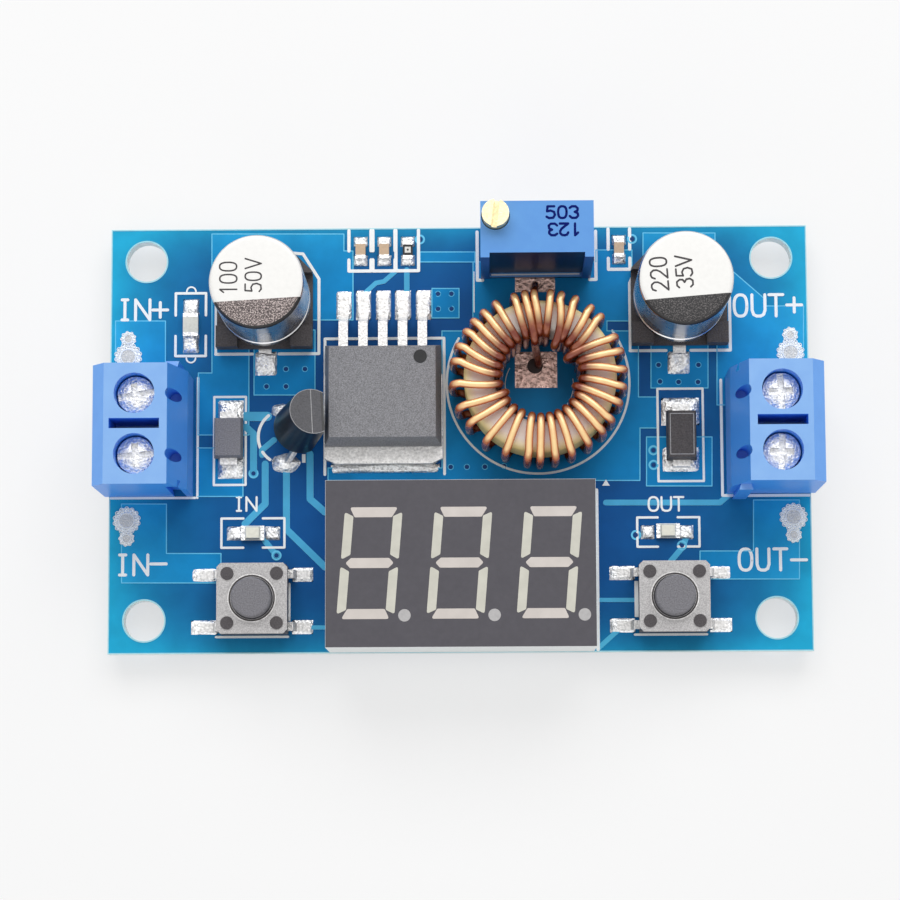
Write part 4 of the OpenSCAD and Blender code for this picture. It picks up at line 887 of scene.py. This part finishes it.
# ---------- the trimmer ----------

TRIMMER_TOP = 10.0
PANEL_LOW, PANEL_SOUTH, PANEL_NORTH = 0.8, 18.35, 18.75
slabs("trimmer_back", [rect(TRIMMER_X - TRIMMER_POST, PANEL_SOUTH, TRIMMER_X + TRIMMER_POST, PANEL_NORTH)],
      PANEL_LOW, TRIMMER_TOP - PANEL_LOW, "trimmer")
slabs("trimmer_resin_edge", [bar((2.85, 14.16), (10.5, 14.2), 0.12, False)], PANEL_LOW, 0.04, "silk")

# its printed value and, upside down, its code
CODES = [("5", 7.85, 17.75, 0), ("0", 8.82, 17.75, 0), ("3", 9.79, 17.75, 0),
         ("3", 8.02, 16.28, 180), ("2", 8.95, 16.28, 180), ("1", 9.87, 16.28, 180)]
codes = [o for char, x, y, turn in CODES for o in glyph(char, x, y, 0.7, 1.0, 0.2, turn)]
slabs("trimmer_codes", codes, TRIMMER_TOP, 0.012, "ink_blue")

# its screw, as a core and two half heads with the slot between them
SCREW = (3.22, 17.48)
SCREW_R, SLOT_HALF, SCREW_TURN = 1.14, 0.24, -7
CORE_LOW, CORE_THICK, HEAD_LOW, HEAD_THICK = 9.1, 1.6, 10.6, 0.79
turned = Matrix.Translation((*SCREW, BOARD_TOP)) @ Matrix.Rotation(math.radians(SCREW_TURN), 4, "Z")
reach = math.degrees(math.acos(SLOT_HALF / SCREW_R))
halves = [[(side * x, y) for x, y in arc(0, 0, SCREW_R, -reach, reach, 28)] for side in (-1, 1)]
head = slabs("trimmer_screw_head", halves, HEAD_LOW, HEAD_THICK, "brass", body="trimmer_screw", place=turned)
slabs("trimmer_screw_core", [disc(0, 0, SCREW_R - 0.01, 40)], CORE_LOW, CORE_THICK, "brass",
      body="trimmer_screw", place=turned)
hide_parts("trimmer_screw")


# ---------- the small regulator ----------

# its mould line and its top's pale rim and dark middle, in the leaning body's frame
LEAN = (Matrix.Translation((-13.75, 0.75, BOARD_TOP + 1.5))
        @ Matrix.Rotation(math.radians(18), 4, "Y") @ Matrix.Rotation(math.radians(-11), 4, "X"))
BODY_R, BODY_TOP, BODY_FLAT = 1.98, 4.61, 0.98
slabs("mould_line", [bar((-0.08, -1.94), (-0.08, 1.94), 0.07, False)], BODY_TOP, 0.012, "pale_grey",
      place=LEAN)
slabs("transistor_rim", stroke(arc(0, 0, BODY_R - 0.02, 60, 300, 40), 0.05), BODY_TOP, 0.01, "pale_grey",
      place=LEAN)
slabs("transistor_top", [[p for p in disc(0, 0, BODY_R, 48) if p[0] <= BODY_FLAT]], BODY_TOP - 0.015, 0.012,
      "transistor_top", place=LEAN)


# ---------- the underside ----------

BELOW = Matrix.Rotation(math.pi, 4, "X")


def below(name, outlines, z, thick, material):
    """Flat shapes on the underside, outlined as they lie seen from above."""
    turned_over = [[(x, -y) for x, y in outline] for outline in outlines]
    return slabs(name, turned_over, z, thick, material, place=BELOW)


COPPER_BELOW = [
    [(-24.4, -17.6), (-12.8, -17.6), (-12.8, -4.4), (-15.4, -1.8), (-15.4, 4.6), (-24.4, 4.6)],
    [(12.8, -17.6), (24.4, -17.6), (24.4, 3.2), (10.4, 3.2), (10.4, -1.8), (12.8, -4.2)],
    rect(-24.4, 5.8, 24.4, 17.6),
]
chip_low, chip_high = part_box("meter_chip_body")
chip_x0, chip_y0, chip_x1, chip_y1 = [v / MM for v in (*chip_low[:2], *chip_high[:2])]
chip_x = (chip_x0 + chip_x1) / 2
# traces fan out from the voltmeter chip's legs, south to the display and north to the parts
LEG_PITCH, TRACE = 0.65, 0.28
traces_below = []
for i in range(-3, 4):
    x = chip_x + LEG_PITCH * i
    south_end, north_end = chip_x + 1.5 * i, chip_x + 1.9 * i
    traces_below += strokes([
        ([(x, chip_y0 - 1.2), (x, chip_y0 - 1.8 - 0.25 * abs(i)), (south_end, -16.6)], TRACE),
        ([(x, chip_y1 + 1.2), (x, chip_y1 + 1.9 + 0.3 * abs(i)), (north_end, -2.4),
          (north_end, 1.2 + 0.5 * i)], TRACE),
    ])
plated = VIAS + RINGED_VIAS
below("copper_below", COPPER_BELOW, 0, 0.03, "copper_mask")
below("copper_edges_below", edges(COPPER_BELOW, 0.09), 0, 0.045, "copper_edge")
below("traces_below", traces_below, 0, 0.025, "trace_mask")
below("vias_below", [disc(x, y, VIA_R, 12) for x, y in plated], 0, 0.06, "via")
below("via_rings_below", circles(plated, 0.3, 0.1, 14), 0, 0.05, "copper_edge")
# the printed boxes round the chip, with its first leg's mark, and under the terminal blocks
silk_below = box_line(chip_x0 - 1.1, chip_y0 - 1.3, chip_x1 + 1.1, chip_y1 + 1.3, 0.16)
silk_below += circles([(chip_x0 - 1.7, chip_y0 - 0.9)], 0.22, 0.12, 12)
silk_below += box_line(-29.4, -5.3, -22.8, 5.3, 0.18) + box_line(22.8, -5.3, 29.4, 5.3, 0.18)
below("silk_below", silk_below, 0.05, 0.03, "silk")


# ---------- small markings on the parts ----------

# the dark paint in the regulator's round moulding mark, set in from its case's north-east corner
MARK_INSET_X, MARK_INSET_Y, MARK_R, MARK_DEPTH = 1.75, 1.35, 0.56, 0.085
case_x, case_y, case_top = [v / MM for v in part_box("regulator_case")[1]]
slabs("regulator_mark_paint", [disc(case_x - MARK_INSET_X, case_y - MARK_INSET_Y, MARK_R, 28)],
      case_top - BOARD_TOP - MARK_DEPTH, 0.03, "pitch_black")

# the frame moulded in the catch diode's top
slabs("diode_frame", box_line(18.1, -1.75, 20.1, 1.75, 0.06), 2.2, 0.012, "pale_grey")

# the chip resistor's light middle, and the dot in it
slabs("resistor_middle", [rect(-4.66, 16.24, -4.14, 16.76)], 0.45, 0.015, "ceramic_white")
slabs("resistor_dot", [disc(-4.4, 16.5, 0.09, 12)], 0.465, 0.012, "glaze_black")

# a dark ring of painted shade in the gap round each switch's button, and outside it a bright ring of painted
# highlight on the cover's edge
COVER_TOP = 3.65
for name, x in SWITCHES.items():
    slabs(f"{name}_switch_gap_shade", circles([(x, SWITCH_Y)], 1.9, 0.12, 48), COVER_TOP, 0.006, "black")
    slabs(f"{name}_switch_gleam", circles([(x, SWITCH_Y)], 2.02, 0.07, 48), COVER_TOP, 0.01, "tin")


# ---------- the display's face ----------

FACE_TOP, FILM, SEGMENT = 7.6, 0.01, 0.012
DIGIT_W, DIGIT_H, DIGIT_PITCH, DIGIT_SLANT = 4.83, 9.35, 7.5, 4.6
MIDDLE_DIGIT = (0.05, -11.42)
POINT_X, POINT_Y, POINT_R = 2.9, -4.38, 0.52  # the decimal point's place from its digit's middle


def digit_outlines(x, y):
    """The level and the upright segments of one slanted digit, with softened corners."""
    w, h = DIGIT_W / 2, DIGIT_H / 2
    t, c, waist = 0.84, 0.4, 0.28  # a segment's width, its corner's cut, and half the middle gap
    tip = c + 0.54 * t
    level = [[(c - w, h), (w - c, h), (w - tip, h - t), (tip - w, h - t)]]
    level += [[(px, -py) for px, py in level[0]]]
    level += [[(c - w, 0), (c - w + t / 2, t / 2), (w - c - t / 2, t / 2), (w - c, 0),
               (w - c - t / 2, -t / 2), (c - w + t / 2, -t / 2)]]
    inner = w - 0.76
    upright = []
    for flip in (1, -1):
        for side in (1, -1):
            upright.append([(side * w, flip * (h - c)), (side * w, flip * waist),
                            (side * inner, flip * (waist + t / 2)), (side * inner, flip * (h - c - 0.36))])
    slant = math.tan(math.radians(DIGIT_SLANT))

    def place(outlines):
        return [rounded([(x + px + slant * py, y + py) for px, py in outline], 0.16) for outline in outlines]
    return place(level), place(upright)


slabs("display_film", [rect(-11.13, -18.43, 11.43, -4.47)], FACE_TOP, FILM, "dark_face")
level, upright, points = [], [], []
for i in (-1, 0, 1):
    x, y = MIDDLE_DIGIT[0] + DIGIT_PITCH * i, MIDDLE_DIGIT[1]
    digit_level, digit_upright = digit_outlines(x, y)
    level += digit_level
    upright += digit_upright
    points.append(disc(x + POINT_X, y + POINT_Y, POINT_R, 28))
slabs("segments_level", level, FACE_TOP + 0.008, SEGMENT, "segment")
slabs("segments_upright", upright, FACE_TOP + 0.008, SEGMENT, "segment_green")
slabs("decimal_points", points, FACE_TOP + 0.008, SEGMENT, "segment_point")


# ---------- the solder in the wire pads ----------

# Each pad's place and radius: a large and a small one towards each corner
WIRE_PADS = [(x, y, r) for x in (-28.7, 28.7)
             for y, r in ((7.3, 1.02), (8.85, 0.58), (-7.0, 1.02), (-8.55, 0.58))]
LARGE_PAD = 0.8
discs, edge_glints, hearts, rims = [], [], [], []
for x, y, r in WIRE_PADS:
    count = 14 if r > LARGE_PAD else 9
    # painted glints on the solder: small white rings round each pad's edge
    edge_glints += circles([polar(x, y, r, 360 * (k + 0.5) / count) for k in range(count)], r * 0.17, 0.06, 10)
    discs.append(disc(x, y, r * 1.08, 36))
    hearts.append(disc(x, y, r * 0.6, 28))
    rims += circles([(x, y)], r * 0.64, 0.09, 28)
plates = slabs("wire_pad_plates", discs, 0.03, 0.05, "pad_solder")
slabs("wire_pad_glint_dots", edge_glints, 0.07, 0.04, "silk")
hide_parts("wire_pad_solder")
slabs("wire_pad_hearts", hearts, 0.07, 0.05, "pad_heart")
# a painted highlight: a white ring on the solder round each heart
slabs("wire_pad_glint_rings", rims, 0.07, 0.08, "silk")


# ---------- floor, light and camera ----------

FLOOR_HALF, FLOOR_GAP, FLOOR_GLOW = 1.5, 0.00002, 0.6  # metres, metres, and the backdrop's share


def backdrop_rays(tree):
    """1 for the rays that should meet a white backdrop: seen, mirrored or through glass."""
    path = tree.nodes.new("ShaderNodeLightPath")
    total = path.outputs["Is Camera Ray"]
    for name in ("Is Glossy Ray", "Is Transmission Ray"):
        larger = tree.nodes.new("ShaderNodeMath")
        larger.operation = "MAXIMUM"
        tree.links.new(total, larger.inputs[0])
        tree.links.new(path.outputs[name], larger.inputs[1])
        total = larger.outputs[0]
    return total


def floor_material():
    """White paper that glows a little for the backdrop's rays."""
    n = Nodes("floor")
    spots = n.ramp(n.noise(400), 0.4, 0.6)
    paper = n.finish(n.mix(spots, (0.9, 0.9, 0.9, 1), (0.92, 0.92, 0.92, 1)), 0.9, specular=0.1)
    glow = n.add("ShaderNodeEmission")
    blend = n.add("ShaderNodeMixShader")
    n.link(n.math("MULTIPLY", backdrop_rays(n.tree), FLOOR_GLOW), blend.inputs["Fac"])
    n.link(n.bsdf.outputs[0], blend.inputs[1])
    n.link(glow.outputs[0], blend.inputs[2])
    n.link(blend.outputs[0], n.out.inputs["Surface"])
    return paper


def stage_floor():
    mesh = bpy.data.meshes.new("floor")
    z = cad_box[0][2] - FLOOR_GAP
    corners = rect(-FLOOR_HALF, -FLOOR_HALF, FLOOR_HALF, FLOOR_HALF)
    mesh.from_pydata([(x, y, z) for x, y in corners], [], [[0, 1, 2, 3]])
    mesh.materials.append(floor_material())
    obj = bpy.data.objects.new("floor", mesh)
    bpy.context.scene.collection.objects.link(obj)


def area_light(name, place, size, watts):
    """A white lamp aimed at the middle of the board."""
    light = bpy.data.lights.new(name, "AREA")
    light.shape = "RECTANGLE"
    light.size, light.size_y = size
    light.energy = watts
    obj = bpy.data.objects.new(name, light)
    obj.location = place
    obj.rotation_euler = (-Vector(place)).to_track_quat("-Z", "Y").to_euler()
    bpy.context.scene.collection.objects.link(obj)


def studio_world(scene):
    """An even white surround, twice as bright where the backdrop is seen."""
    world = bpy.data.worlds.new("studio")
    scene.world = world
    world.use_nodes = True
    tree = world.node_tree
    sky = tree.nodes["Background"]
    sky.inputs["Color"].default_value = (1, 1, 1, 1)
    strength = tree.nodes.new("ShaderNodeMapRange")
    strength.inputs["To Min"].default_value = 0.5
    tree.links.new(backdrop_rays(tree), strength.inputs["Value"])
    tree.links.new(strength.outputs["Result"], sky.inputs["Strength"])


def photo_camera(scene):
    """The photograph's camera: almost straight down, from a little south."""
    camera = bpy.data.cameras.new("camera")
    camera.lens, camera.sensor_width = 117.6, 36
    camera.clip_start, camera.clip_end = 0.01, 5
    view = bpy.data.objects.new("camera", camera)
    view.location = (0.002548, -0.032384, 0.253501)
    view.rotation_euler = [math.radians(a) for a in (7.094, 0.793, -0.246)]
    scene.collection.objects.link(view)
    scene.camera = view


scene = bpy.context.scene
stage_floor()
area_light("north_softbox", (0.02, 0.30, 0.36), (0.5, 0.3), 1.45)
area_light("south_fill", (-0.1, -0.4, 0.3), (0.5, 0.3), 0.3)
studio_world(scene)
photo_camera(scene)
scene.view_settings.view_transform = "Standard"
scene.view_settings.look = "None"
scene.cycles.use_denoising = True
